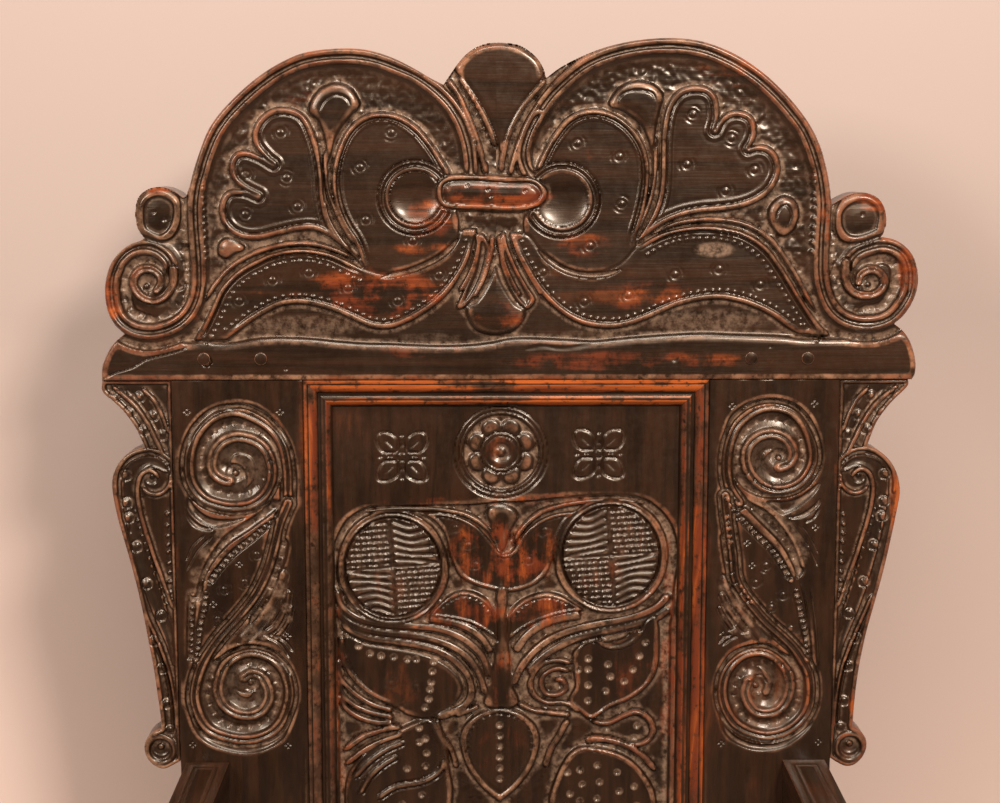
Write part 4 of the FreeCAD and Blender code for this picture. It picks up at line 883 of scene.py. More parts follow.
    # reeds and the hanging bud under the clasp
    for flute in (
        [(-20, 112), (-14, 104), (-16, 88), (-22, 72), (-30, 60), (-37, 57), (-33, 68), (-26, 84), (-23, 98)],
        [(-3, 113), (2, 100), (8, 86), (16, 72), (21, 63), (16, 56), (10, 60), (2, 72), (-4, 90)],
    ):
        face.shape(ring_through(flute), [(0, -0.8), (1.4, -0.4), (3, -2.0), (6, -2.8)])
    face.shape(line_through([(-9, 88), (-9, 88), (-15, 74), (-23, 62), (-31, 57), (-29, 48), (-22, 39), (-9, 35.5),
                             (4, 38.5), (12, 47), (14, 55), (7, 60), (-1, 72), (-9, 88)]),
               [(0, -2.4), (2.5, -0.9), (8, -0.2), (18, 0.4)])
    for reed in ([(-22, 114), (-23, 100), (-28, 84), (-36, 69)], [(-11, 112), (-12, 98), (-17, 80), (-25, 64)],
                 [(-6, 112), (-4, 98), (3, 80), (11, 65)], [(4, 112), (9, 98), (17, 82), (27, 66)]):
        face.rib(line_through(reed), 1.9, 0.2, -4.0, ends=0.04)
    face.pearls(line_through([(-9.5, 104), (-9.5, 92)]), 5.0, 1.4, 1.2)
    # punched eyes and dots on the smooth faces
    face.eyes([
        (-172, 190, 20), (-168, 156, 70), (-199, 158, 10), (-200, 128, 60), (-160, 134, 30), (-88, 190, 80),
        (-112, 164, 30), (-108, 124, 10), (-72, 108, 0), (-122, 72, 15), (-84, 62, 20), (-52, 82, 10), (-180, 78, 10),
        (-152, 84, 0), (-206, 62, 20), (54, 182, 20), (86, 172, 0), (88, 136, 60), (142, 204, 60), (138, 166, 10),
        (168, 146, 10), (190, 162, 20), (172, 186, 70), (64, 104, 30), (28, 84, 15), (60, 61, 20), (94, 66, 10),
        (130, 82, 20), (164, 86, 0), (196, 74, 15),
    ])
    face.rub((-104, 68, 58, 20, 0.9), (-60, 124, 20, 16, 0.8), (-66, 104, 26, 8, 0.6), (-6, 143, 46, 11, 1.0),
             (62, 104, 24, 10, 0.7), (104, 66, 52, 13, 0.6), (96, 15, 110, 9, 0.7), (-60, 23, 60, 6, 0.6),
             (-4, 50, 24, 12, 0.7), (-168, 70, 34, 10, 0.5), (-150, 214, 20, 9, 0.6), (52, 172, 16, 12, 0.4),
             (196, 236, 60, 20, 0.5), (282, 138, 14, 8, 0.9), (-270, 146, 16, 5, 0.9), (-240, 96, 6, 60, 0.5),
             (244, 110, 6, 50, 0.6), (310, 90, 8, 30, 0.8), (-305, 60, 7, 24, 0.8))
    for dot in ((-14, 147), (-30, 150), (14, 146), (-12, 142), (-270, 130), (-262, 124), (274, 128)):
        face.dome(dot, 1.6, -1.0)
    # pegs, old nail holes and a split in the base
    for centre, radius, depth in (((-232, 15), 4.2, -2.4), ((131, 17), 3.2, -0.6), ((-171, 9), 1.5, -0.8),
                                  ((205, 26), 1.2, -0.6)):
        face.dome(centre, radius, depth, 0.3)
    face.run(line_through([(-314, 0), (-304, 6), (-290, 10.5), (-278, 17), (-262, 21), (-246, 26)]),
             [(-1.2, 0), (0, -1.5), (0.8, -0.2), (4, 0)], 0.05)
    face.vein(line_through([(14, 24), (28, 26.5), (44, 25), (66, 27.5)]), 2.2, 0.7)


def half_of(outline, limit, side):
    """The part of an outline to the right (1) or left (-1) of a straight cut."""
    kept = []
    for a, b in zip(outline, np.roll(outline, -1, axis=0)):
        if side * (a[0] - limit) >= 0:
            kept.append(a)
        if (a[0] - limit) * (b[0] - limit) < 0:
            share = (limit - a[0]) / (b[0] - a[0])
            kept.append(a + share * (b - a))
    return np.array(kept)


# the board is made as two pieces, so that neither has too many faces
CREST_CUT = -8.0
CREST_PITCH = 0.885
for side, low, high in ((-1, -320.0, CREST_CUT), (1, CREST_CUT, 320.0)):
    word = "left" if side < 0 else "right"
    across = np.linspace(low, high, round((high - low) / CREST_PITCH) + 1)
    crest_face = CarvedFace(across, np.arange(-1.2, 262.5, CREST_PITCH), 3)
    carve_crest(crest_face)
    crest_face.roughen(0.07, 0.22, -4.5)
    crest_face.ease_edge(crest_edge, 2.2)
    carved_board(f"crest_rail_{word}", crest_face, half_of(crest_edge, CREST_CUT, side), CREST_THICKNESS,
                 crest_oak, "crest_rail", edge=2.2, joints=(CREST_CUT,))

# Back panel.
# A thin oak board held in the frame's grooves, its field sunk round a flower, two checkered rounds, a tulip
# on a fluted stalk and large leaves, all cut with gouges; two small gouged flowers stand beside the round one.
PANEL_FRONT = 13.0
PANEL_THICKNESS = 15.0
PANEL_LOW = -428.0
PANEL_SIDE = 158.0
PANEL_GROUND = -4.4
PANEL_FIELD = [
    (-110, -104), (-90, -102.5), (-60, -102), (-30, -101.5), (-8, -100), (20, -98.5), (40, -96.5), (70, -95),
    (92, -95), (110, -98), (122, -106), (131, -118), (136, -134), (136.5, -150), (134, -166), (131.5, -182),
    (131, -200), (131.5, -240), (131.5, -300), (131, -360), (128, -396), (100, -402), (0, -403), (-100, -402),
    (-129, -396), (-133, -360), (-134, -300), (-134, -240), (-134, -200), (-136.5, -180), (-138, -160), (-137, -140),
    (-132, -124), (-124, -112),
]
LEAF_CORD = [(0, -1.6), (0.9, -0.3), (2.0, -0.2), (3.2, -1.8), (4.4, -1.2), (7, -1.3)]


def checkered_round(face, centre, wide, high, tilt, checks):
    """A sunk disc in four quarters: two of dented bars and two of curved gouge cuts."""
    face.shape(ring_line(centre, wide, high), [(0, -0.9), (2.0, -0.7), (5, -0.6)], wall=1.2)
    turn = math.radians(tilt)
    right, up = np.array([math.cos(turn), math.sin(turn)]), np.array([-math.sin(turn), math.cos(turn)])
    middle = np.array(centre, float)

    def chord(level, first, last):
        """A straight cut at a height in the disc, between two shares of its half width."""
        half = wide * math.sqrt(max(0, 1 - (level / high) ** 2)) - 2.0
        return [middle + right * half * first + up * level, middle + right * half * last + up * level]

    for side_across, side_up in checks:
        for row in range(8):
            level = side_up * (row * 4.7 + 3.4)
            if abs(level) < high - 4:
                face.pearls(line_through(chord(level, 0.05 * side_across, side_across), step=1.2), 4.5, 2.0, -1.5)
    for side_across, side_up in ((-checks[0][0], checks[0][1]), (checks[0][0], -checks[0][1])):
        for cut in range(6):
            start_up, turn_out = high * (0.93 - 0.155 * cut), math.radians(56 - 11 * cut)
            face.vein(line_through([
                middle + right * side_across * 1.5 + up * side_up * start_up,
                middle + right * side_across * wide * (0.34 + 0.03 * cut)
                + up * side_up * start_up * (0.86 - 0.03 * cut),
                middle + right * side_across * wide * 0.95 * math.cos(turn_out)
                + up * side_up * high * 0.95 * math.sin(turn_out),
            ]), 2.1, 1.6, 0.1)
    for arm, reach in ((right, wide - 2), (up, high - 2)):
        face.vein(np.array([middle - arm * reach, middle + arm * reach]), 1.6, 1.3, ends=0)


def small_flower(face, centre):
    """Four gouged petals round a punched eye, with a dot between each pair."""
    for quarter in range(4):
        turn = math.radians(45 + 90 * quarter)
        out, over = np.array([math.cos(turn), math.sin(turn)]), np.array([-math.sin(turn), math.cos(turn)])
        between = np.array([math.cos(turn + math.radians(45)), math.sin(turn + math.radians(45))])
        petal = [centre + out * far + over * aside for far, aside in
                 ((5, 0), (13, 7.5), (22, 5.5), (26, 0), (22, -5.5), (13, -7.5), (5, 0))]
        face.vein(line_through(petal), 1.5, 1.5, ends=0.02)
        face.vein(line_through([centre + out * 9, centre + out * 19]), 1.1, 0.9)
        face.dome(centre + 17 * between, 1.9, -1.3)
        face.vein(line_through([centre + 7 * between, centre + 12 * between]), 1.1, 1.0)
    face.vein(ring_line(centre, 3.6, 3.6), 1.1, 1.1, ends=0)


def dusty_pit(face, spot):
    """A round punch mark that has filled with dust."""
    face.dome(spot, 2.5, -1.5, 0.8)
    face.settle((*spot, 3.2, 3.2, 1.0))


def carve_panel(face):
    face.shape(ring_through(PANEL_FIELD), [(0, -3.2), (3, PANEL_GROUND), (6, PANEL_GROUND)], wall=1.6)
    # round flower
    flower = np.array([-4.0, -59.0])
    face.shape(ring_line(flower, 38, 38),
               [(0, -0.2), (1.1, -1.7), (2.2, -0.3), (3.6, -0.1), (4.9, -1.8), (6.0, -0.5), (7.4, -0.5), (9.0, -3.4),
                (13, -3.6)], wall=0.8)
    for petal in range(8):
        turn = math.radians(22.5 + 45 * petal)
        face.shape(ring_line(flower + 20.0 * np.array([math.cos(turn), math.sin(turn)]), 7.9, 7.9),
                   [(0, -2.4), (1.6, -1.2), (4, -0.8), (8, -0.6)], wall=0.9)
    face.shape(ring_line(flower, 16.5, 16.5),
               [(0, -2.6), (1.2, -1.0), (2.4, -0.9), (3.6, -2.2), (4.6, -1.2), (7.5, -1.4), (10, -2.6), (12.0, -3.4),
                (13.0, -2.2), (16, -1.4)], wall=0.8)
    for centre in ((-82.0, -62.0), (73.0, -60.0)):
        small_flower(face, np.array(centre))
    # checkered rounds and the cords round them
    for centre, wide, high, tilt, checks in (
        ((-90.0, -151.5), 38.5, 41.0, 4.0, ((-1, 1), (1, -1))),
        ((83.5, -142.5), 39.5, 41.0, 4.0, ((1, 1), (-1, -1))),
    ):
        checkered_round(face, centre, wide, high, tilt, checks)
        face.run(ring_line(centre, wide + 2.8, high + 2.8), CORD, wall=1.0)
    for cord in (
        [(-112, -106.5), (-95, -104.8), (-76, -104.3), (-58, -104.6), (-42, -106.5), (-30, -110), (-19, -117),
         (-11, -126), (-6.5, -135)],
        [(110, -100.5), (92, -98), (72, -98.2), (54, -100), (40, -103), (27, -108), (16, -117), (9, -126), (5, -135)],
    ):
        face.rib(line_through(cord), 2.2, -0.1, -3.8)
    # tulip, its bud and its stem
    face.shape(ring_through([
        (-68, -108), (-68, -108), (-50, -108), (-35, -112), (-23, -119), (-13, -130), (-5, -140), (1, -141),
        (6, -138), (14, -125), (26, -114), (40, -108.5), (56, -107), (56, -107), (47, -116), (41, -128), (38, -140),
        (34, -153), (26, -163), (15, -169), (0, -172), (-10, -170), (-25, -165.5), (-36, -158.5), (-42.5, -147),
        (-46, -135), (-50, -122), (-58, -113)
    ]), LEAF_CORD)
    face.shape(ring_through([(-15, -110), (-13, -104), (-7, -101.5), (0, -102), (6, -105), (9, -111), (6, -119),
                             (2, -127), (-3, -140), (-9, -127), (-13, -118)]),
               [(0, -2.2), (1.8, -0.9), (6, -0.1)])
    face.vein(line_through([(-3, -137), (-4, -150), (-4, -168)]), 1.4, 1.1)
    face.shape(ring_through([(-6.5, -170), (-7.5, -190), (-9, -215), (-12, -245), (-17, -264), (-5, -269), (9, -264),
                             (4.5, -246), (2, -215), (0, -190), (0.5, -170)]),
               [(0, -1.2), (1.5, -0.2), (5, 0)])
    # leaves under the tulip
    for leaf in (
        [(-62, -192), (-62, -192), (-54, -183), (-46, -176), (-35, -172), (-24, -174), (-14, -181), (-8, -192),
         (-7, -212), (-7, -212), (-16, -205), (-28, -198), (-44, -194)],
        [(62, -187), (62, -187), (53, -181), (44, -176), (32, -173.5), (19, -176.5), (8, -184), (1, -195), (2, -212),
         (2, -212), (12, -204), (24, -197), (42, -191)],
    ):
        face.shape(ring_through(leaf), LEAF_CORD)
    for row in (
        [(-52, -187), (-44, -181), (-34, -177.5), (-24, -180), (-16, -186), (-11, -196)],
        [(50, -185), (42, -181), (32, -179), (20, -181.5), (11, -188), (5, -197)],
    ):
        face.pearls(line_through(row), 4.6, 1.3, 0.9)
    # fluted stalks that sweep from the rounds to the stem
    for stalk in (
        [(-136, -168), (-131, -183), (-119, -193), (-101, -198), (-80, -200), (-60, -201.5), (-43, -206), (-29, -214),
         (-18.5, -226), (-12, -244)],
        [(-137, -182), (-129, -194), (-115, -201.5), (-96, -205.5), (-76, -207.5), (-57, -211.5), (-41, -218),
         (-28.5, -228), (-20.5, -242), (-16, -258)],
        [(-133, -195), (-123, -204), (-108, -210), (-88, -213), (-68, -216.5), (-51, -222), (-38, -231),
         (-29.5, -243), (-28, -256), (-34, -266), (-46, -272), (-58, -275.5)],
        [(-62, -194), (-46, -196.5), (-31, -201.5), (-19, -210), (-11.5, -222)],
        [(131, -174), (122, -184), (110, -190.5), (94, -195.5), (74, -199), (54, -203.5), (36, -211), (22, -222),
         (11, -236), (4, -250)],
        [(133, -185), (120, -193.5), (104, -199), (86, -203), (68, -207), (50, -213), (36, -221), (25, -230),
         (17, -240)],
        [(60, -191), (43, -194), (28, -199.5), (16, -208.5), (7, -221)],
    ):
        face.rib(line_through(stalk), 3.9, 0.1, -3.2, ends=0.03)
    # large leaves with punched faces, fluted at the sides
    face.shape(ring_through([
        (-127, -208), (-114, -214), (-96, -217.5), (-76, -221), (-60, -225.5), (-47, -233), (-37, -243),
        (-34.5, -253), (-40, -263), (-52, -270), (-62, -276), (-74, -275), (-91, -266), (-107, -254), (-120, -240),
        (-128, -224)
    ]), [(0, -1.8), (1.2, -0.9), (5, -0.9)])
    for flute in (
        [(-131, -206), (-131.5, -224), (-123, -241), (-108, -255), (-90, -264)],
        [(-134, -226), (-133, -240), (-124, -253), (-108, -264), (-90, -270)],
        [(-134, -242), (-132, -254), (-122, -265), (-106, -272), (-90, -275.5)],
        [(-134, -256), (-129, -267), (-118, -275), (-104, -279.5), (-90, -280)],
    ):
        face.rib(line_through(flute), 2.8, 0.0, -3.4, ends=0.05)
    face.shape(ring_through([
        (55, -236), (54, -224), (60, -215), (71, -211), (83, -215), (97, -214), (107, -206), (112, -197), (120, -193),
        (122, -212), (120.5, -236), (112, -251), (99, -261), (83, -268), (69, -277), (59, -270), (51, -261),
        (56, -250)
    ]), LEAF_CORD)
    face.shape(ring_through([(72, -210), (80, -213), (92, -211), (102, -205), (107.5, -206), (101, -214.5),
                             (89, -219), (78, -217)]), [(0, 0.0), (1.5, -0.4), (4, -1.8)], wall=1.0)
    for curl in (
        [(54, -231), (40, -228.5), (28, -233), (20.5, -244), (22, -256), (33, -263.5), (48, -264), (60, -272)],
        [(52, -238), (42, -235), (32, -239), (28, -247), (32, -256), (42, -257), (48, -252), (45, -245), (39, -245)],
        [(68, -279), (82, -281), (95, -275), (106, -272), (116, -279), (118.5, -290), (111, -298), (96, -299),
         (80, -295), (64, -297)],
        [(-40, -274), (-30, -270), (-22, -266)],
        [(10, -264), (22, -270), (36, -272), (52, -274)],
        [(-56, -277), (-52, -290), (-44, -303), (-40, -318)],
        [(50, -278), (44, -290), (36, -304), (32, -318)],
    ):
        face.rib(line_through(curl), 2.2, 0.0, -3.6, ends=0.05)
    heart = [(-5, -268), (9, -271), (20, -279), (26, -291), (25, -306), (18, -322), (7, -336), (-5, -346), (-5, -346),
             (-17, -336), (-28, -322), (-35, -306), (-36, -291), (-30, -279), (-19, -271)]
    face.shape(ring_through(heart), [(0, -1.8), (1.2, -0.1), (3, 0.0), (4.2, -1.6), (8, -0.9)])
    face.pearls(line_through([(20, -306), (20.5, -292), (15, -281.5), (5, -276), (-5, -274.5), (-15, -276),
                              (-25, -281.5), (-30.5, -292), (-30, -306)]), 5.4, 1.6, 1.0)
    face.settle((-90, -151, 38, 40, 0.35), (83, -142, 38, 40, 0.35))
    face.rub((-100, -168, 24, 20, 0.45), (-76, -136, 22, 16, 0.35), (72, -160, 24, 20, 0.55), (98, -130, 20, 16, 0.4))
    # lower leaves and the bud at the foot
    for leaf in (
        [(-62, -277), (-52, -290), (-47, -305), (-46, -322), (-44, -340), (-48, -362), (-60, -378), (-80, -388),
         (-104, -388), (-122, -378), (-129, -360), (-131, -340), (-127, -322), (-116, -306), (-100, -294),
         (-82, -284)],
        [(62, -301), (76, -302), (92, -307), (104, -315), (113, -326), (120, -340), (122, -360), (116, -378),
         (98, -388), (72, -388), (52, -378), (40, -362), (36, -346), (40, -330), (45, -318), (52, -307)],
    ):
        face.shape(ring_through(leaf), [(0, -1.8), (1.1, -0.2), (2.4, -0.2), (3.4, -1.6), (5, -1.0)])
    for flute in (
        [(-84, -283), (-100, -286), (-116, -292), (-131, -303)],
        [(-82, -289), (-98, -294), (-114, -302), (-130, -315)],
        [(-80, -295), (-96, -302), (-110, -312), (-124, -327)],
        [(-86, -307), (-98, -314), (-110, -325), (-119, -341)],
        [(-49, -309), (-54, -321), (-68, -329.5), (-90, -334), (-106, -345)],
        [(64, -294), (80, -294.5), (96, -299), (110, -308), (121, -321)],
    ):
        face.flute(line_through(flute), 2.4, 2.0)
    for pit in ((-70, -296), (-64, -305), (-65, -316), (-80, -318), (-68, -340), (-84, -348), (-100, -360),
                (-64, -358), (-82, -368), (-100, -376), (50, -322), (52, -340), (60, -320), (62, -332), (60, -346),
                (74, -316), (76, -330), (74, -344), (90, -322), (92, -338), (90, -354), (104, -334), (106, -350),
                (76, -360), (60, -362), (92, -370)):
        dusty_pit(face, pit)
    face.shape(ring_through([(-4, -352), (6, -362), (12, -376), (8, -390), (-4, -396), (-16, -390), (-20, -376),
                             (-14, -362)]), [(0, -2.2), (2, -0.8), (8, 0)])
    # punches
    face.eyes([(-40, -120, 30), (-24, -150, 20), (-30, -134, 10), (31, -122, 40), (18, -146, 20), (-92, -247, 10),
               (-72, -250, 70), (-84, -268, 30)], 5.2, 0.6)
    face.rub((-2, -140, 44, 32, 1.0), (-32, -190, 34, 16, 0.8), (32, -190, 36, 15, 0.8), (-4, -232, 11, 44, 0.7),
             (96, -236, 26, 30, 0.5), (-4, -59, 15, 15, 0.5), (-86, -246, 38, 22, 0.4), (-5, -306, 26, 34, 0.45),
             (-84, -206, 56, 12, 0.35), (78, -204, 56, 12, 0.4), (0, -98, 110, 5, 0.6), (130, -250, 6, 150, 0.7),
             (-133, -250, 5, 150, 0.6))
    for pit in ((-118, -216), (-109, -222), (-100, -224), (-90, -225), (-79, -227), (-72, -227), (-58, -229),
                (-59, -237), (-60, -246), (-61, -252), (-62, -260), (-65, -267), (-70, -284), (-65, -293), (66, -227),
                (82, -232), (66, -236), (102, -236), (84, -242), (66, -249), (95, -246), (80, -254), (66, -262),
                (107, -225), (112, -214), (82, -286), (106, -284), (104, -294), (-5, -282), (-5, -291), (-5, -300),
                (-5, -309), (-5, -318), (-5, -327), (58, -236), (44, -250)):
        dusty_pit(face, pit)


panel_oak = waxed_oak("panel_oak", "Z")
PANEL_PITCH = 1.08
panel_face = CarvedFace(
    np.concatenate([[-158, -150, -144], np.arange(-138.5, 138.6, PANEL_PITCH), [144, 150, 158]]),
    np.concatenate([[PANEL_LOW, -420, -412], np.arange(-406, -346, 1.8), np.arange(-346, -196, PANEL_PITCH),
                    np.arange(-196, -100, 0.8 * PANEL_PITCH), np.arange(-100, -19, PANEL_PITCH), [-10, 0]]), 5)
carve_panel(panel_face)
panel_face.roughen(0.07, 0.14, -3.6)
panel_edge = np.array([(-PANEL_SIDE, PANEL_LOW), (PANEL_SIDE, PANEL_LOW), (PANEL_SIDE, 0.0), (-PANEL_SIDE, 0.0)])
carved_board("back_panel_carved", panel_face, panel_edge, PANEL_THICKNESS, panel_oak, "back_panel",
             front=PANEL_FRONT, edge=0.0, back_ease=0.5)

# Back posts.
# Two wide oak posts, upright to the seat and leaning above it. Beside the panel each is carved with a volute
# above and below, joined by a hollow sweeping stem, with gouged flutes and rows of beads; lower down they are plain.
POST_INNER, POST_OUTER, POST_THICKNESS = 158.0, 260.0, 45.0
POST_FOOT, POST_BACK_BEND = -548.0, 0.42764
POST_EASE = 1.2
CORNER_ANGLE, CORNER_BARE = 35, 0.75
VOLUTE_CORD = [(-5.4, -3.4), (-4.2, -2.2), (-3.4, -0.9), (-2.6, -0.1), (-1.4, -0.3), (0, -1.6), (1.4, -0.3),
               (2.6, -0.1), (3.4, -0.9), (4.2, -2.2), (5.4, -3.4)]
VOLUTE_FLOOR = [(0, -3.6), (6, -4.2), (32, -4.2)]
DISHED_CORD = [(-13, -5.6), (-10, -5.4), (-7.6, -4.4)] + VOLUTE_CORD + [(7.6, -4.4), (10, -5.4), (13, -5.6)]
LEFT_POST_CARVING = {
    "rounds": [((-211, -62), 36, 37, (-212, -73)), ((-210, -253), 36, 35, (-203, -243))],
    "cords": [
        [(-171, -97), (-171, -70), (-175, -50), (-185, -36), (-200, -27), (-212, -24), (-226, -27), (-238, -37),
         (-245, -50), (-248, -65), (-247, -78), (-242, -88), (-234, -95), (-222, -99), (-212, -100), (-200, -98),
         (-190, -91), (-184, -80), (-183, -68), (-187, -56), (-195, -48), (-206, -44.5), (-214, -45), (-222, -49),
         (-228, -57), (-230, -66), (-228, -73), (-222, -78), (-217, -79)],
        [(-171, -97), (-174, -104), (-178, -114), (-182, -130), (-188, -150), (-198, -170), (-212, -188),
         (-228, -206), (-240, -224), (-246, -240), (-248, -255), (-244, -270), (-236, -281), (-222, -287),
         (-208, -289), (-193, -286), (-182, -278), (-175, -265), (-172, -250), (-175, -235), (-182, -225),
         (-192, -219), (-203, -217), (-214, -220), (-223, -228), (-228, -240), (-229, -250), (-225, -260),
         (-216, -267), (-205, -269), (-195, -265), (-189, -255), (-190, -245), (-195, -237), (-202, -235),
         (-208, -238)],
    ],
    "slopes": [
        [(-252, -53), (-245, -38), (-235, -27), (-222, -20), (-208, -17), (-195, -19), (-183, -27), (-175, -38),
         (-168, -51)],
        [(-170, -238), (-170, -232), (-177, -221), (-187, -213), (-203, -210), (-219, -214), (-232, -222)],
    ],
    "low_slopes": [[(-254, -262), (-250, -278), (-240, -290), (-225, -297), (-208, -300), (-192, -297), (-178, -288),
                    (-171, -275), (-169, -262)]],
    "scoops": [
        [(-249, -90), (-250, -100), (-243, -110), (-235, -115), (-226, -116.5), (-213, -113), (-203, -108),
         (-215, -109), (-230, -108), (-240, -102), (-248, -92)],
        [(-251, -100), (-250, -108), (-244, -116), (-235, -119), (-230, -117), (-240, -113), (-248, -106)],
    ],
    "lines": [[(-236, -121), (-246, -130), (-252, -143)], [(-230, -122), (-242, -134), (-252, -151)],
              [(-250, -164), (-251, -190), (-252, -222)], [(-204, -70), (-205, -78)]],
    "stem": [(-184, -93), (-195, -103), (-210, -113), (-222, -122), (-234, -138), (-242, -155), (-246, -172),
             (-241, -174), (-239, -165), (-234, -152), (-226, -140), (-215, -129), (-200, -119), (-185, -108),
             (-173, -98)],
    "stem_edges": [[(-184, -93), (-195, -103), (-210, -113), (-222, -122), (-234, -138), (-242, -155), (-246, -172)],
                   [(-172, -97), (-185, -108), (-200, -119), (-215, -129), (-226, -140), (-234, -152), (-239, -165)]],
    "beads": [[(-180, -108), (-200, -125), (-215, -137), (-228, -152), (-235, -162)],
              [(-236, -166), (-239, -183), (-242, -195), (-244, -210), (-246, -228)],
              [(-247, -168), (-249, -195), (-250, -225)]],
    "channel": [(-174, -124), (-177, -140), (-181.5, -152), (-187, -167), (-193, -180), (-203, -193)],
    "flutes": [([(-173, -148), (-179, -166), (-189, -184), (-203, -201), (-213, -210)], 3.6),
               ([(-171, -165), (-174, -181), (-182, -195), (-192, -203)], 2.2),
               ([(-169.5, -178), (-172, -190), (-178, -200), (-184, -205)], 1.7)],
    "arcs": [[(-190, -204), (-180, -209), (-171, -222)], [(-186, -203), (-176, -207), (-168, -217)]],
    "eyes": [(-196, -138, 20), (-206, -160, 60), (-222, -166, 10), (-228, -190, 80)],
    "corners": [(-248, -24), (-176, -24), (-210, -145), (-231, -177), (-173, -203), (-250, -292), (-174, -293)],
}
RIGHT_POST_CARVING = {
    "rounds": [((207, -57), 33, 35, (214, -62)), ((208, -252), 34, 34, (200, -247))],
    "cords": [
        [(183, -97), (175.5, -86), (172.5, -74), (172.5, -60), (175, -47), (180, -36), (188, -28), (198, -22.5),
         (209, -21), (220, -23.5), (229, -30), (236, -41), (240, -54), (240.5, -64), (237.5, -73), (232, -80.5),
         (224, -85.5), (214, -87.5), (204, -85.5), (196, -80), (190, -71.5), (187.5, -62), (189.5, -53), (195, -46.5),
         (203, -43), (211, -43), (218.5, -46.5), (223.5, -53), (224.5, -60), (221, -66.5), (215, -69)],
        [(172, -92), (174, -108), (176.5, -124), (179, -140), (181, -157.5), (187.8, -171), (197.8, -183.8),
         (207.8, -195), (219, -205), (229, -215), (236.5, -226), (241.5, -236), (243.4, -247.5), (242.8, -260),
         (239, -270), (231.5, -278.8), (221.5, -285), (209, -287.5), (196.5, -285), (185, -278.8), (177.8, -270),
         (173.4, -260), (172, -248.8), (174, -237.5), (180, -227.5), (190, -220), (202.8, -218), (214, -222.5),
         (222.8, -232.5), (226.5, -245), (224, -257.5), (217.8, -266), (209, -269), (200, -267.5), (194, -261),
         (191, -252), (193, -243)],
    ],
    "slopes": [
        [(168.4, -46), (170, -37), (174, -28.5), (181, -21.6), (190, -16.6), (203, -14), (214, -14.8), (224, -18),
         (231.5, -23.5), (239, -33.5), (246, -50)],
        [(168.4, -232.5), (172.8, -223.8), (181.5, -216), (192.8, -212), (204, -210.6), (214, -213.8), (222.8, -221),
         (230, -231)],
    ],
    "low_slopes": [[(167.8, -268.8), (171.5, -280), (179, -290), (189, -296), (200, -299), (212.8, -299), (224, -296),
                    (235, -288.8), (244, -281), (248, -276)]],
    "scoops": [
        [(246, -81), (243.4, -88.5), (236.5, -96), (229, -102), (221.5, -106), (216.5, -106.6), (210, -102),
         (204, -97), (209, -94.8), (219, -94.8), (229, -92), (238, -86)],
        [(247, -91), (246.5, -98.5), (241.5, -104.8), (234, -109), (226.5, -110), (221, -109), (229, -107),
         (239, -101), (246, -93.5)],
    ],
    "lines": [[(221.5, -109.8), (229, -119.8), (239, -133.5)], [(230, -114.8), (236.5, -121), (246.5, -138.5)],
              [(246.5, -101), (241.5, -109.8), (235, -113)], [(239, -134), (246, -148.5)],
              [(229, -152.5), (234, -166), (237.8, -181), (240, -200), (242, -220), (244, -237.5)],
              [(240, -164), (243.4, -181), (246, -200), (247.8, -220), (248.4, -236)],
              [(209, -245), (204, -239), (197.8, -239)]],
    "stem": [(184.6, -91), (195, -97), (204, -102), (212.8, -109.8), (220, -118.5), (226.5, -128.5), (231.5, -139.8),
             (235, -151), (230, -158), (225, -148.5), (219, -137), (211.5, -127), (201.5, -117), (191.5, -107),
             (181, -97)],
    "stem_edges": [[(184.6, -91), (195, -97), (204, -102), (212.8, -109.8), (220, -118.5), (226.5, -128.5),
                    (231.5, -139.8), (235, -151)],
                   [(181, -96), (191.5, -107), (201.5, -117), (211.5, -127), (219, -137), (225, -148.5),
                    (229, -158.5)]],
    "beads": [[(172.8, -92), (179, -103.5), (187.8, -113.5), (197.8, -123.5), (206.5, -132), (214, -141), (220, -151),
               (225, -160)], [(228.8, -166), (232.5, -181), (236, -196), (239, -210), (240, -226)],
              [(173.4, -106), (175.5, -122), (177, -132)], [(184, -163), (189.6, -171), (196, -180)]],
    "channel": [(172, -120), (174, -136), (177, -150), (182, -164), (190, -178)],
    "flutes": [([(170, -153.8), (174, -166), (181.5, -180), (191.5, -192.5), (201.5, -205.6), (211.5, -212.5)], 3.2),
               ([(169, -168.8), (175, -181), (182.8, -192.5), (191.5, -202.5)], 2.2),
               ([(168.4, -180), (172.8, -190), (180, -200)], 1.7)],
    "arcs": [[(168.4, -211), (172.8, -206), (179, -203.8)], [(171.5, -212.5), (177.8, -207.5), (184, -205)]],
    "eyes": [(205, -148, 60), (197, -162, 20), (219, -172, 10), (210, -182, 70), (226, -199, 0)],
    "corners": [(240, -18), (243.4, -116.6), (189.6, -129), (194, -147), (176, -20), (172, -203), (250, -292),
                (172, -293)],
}


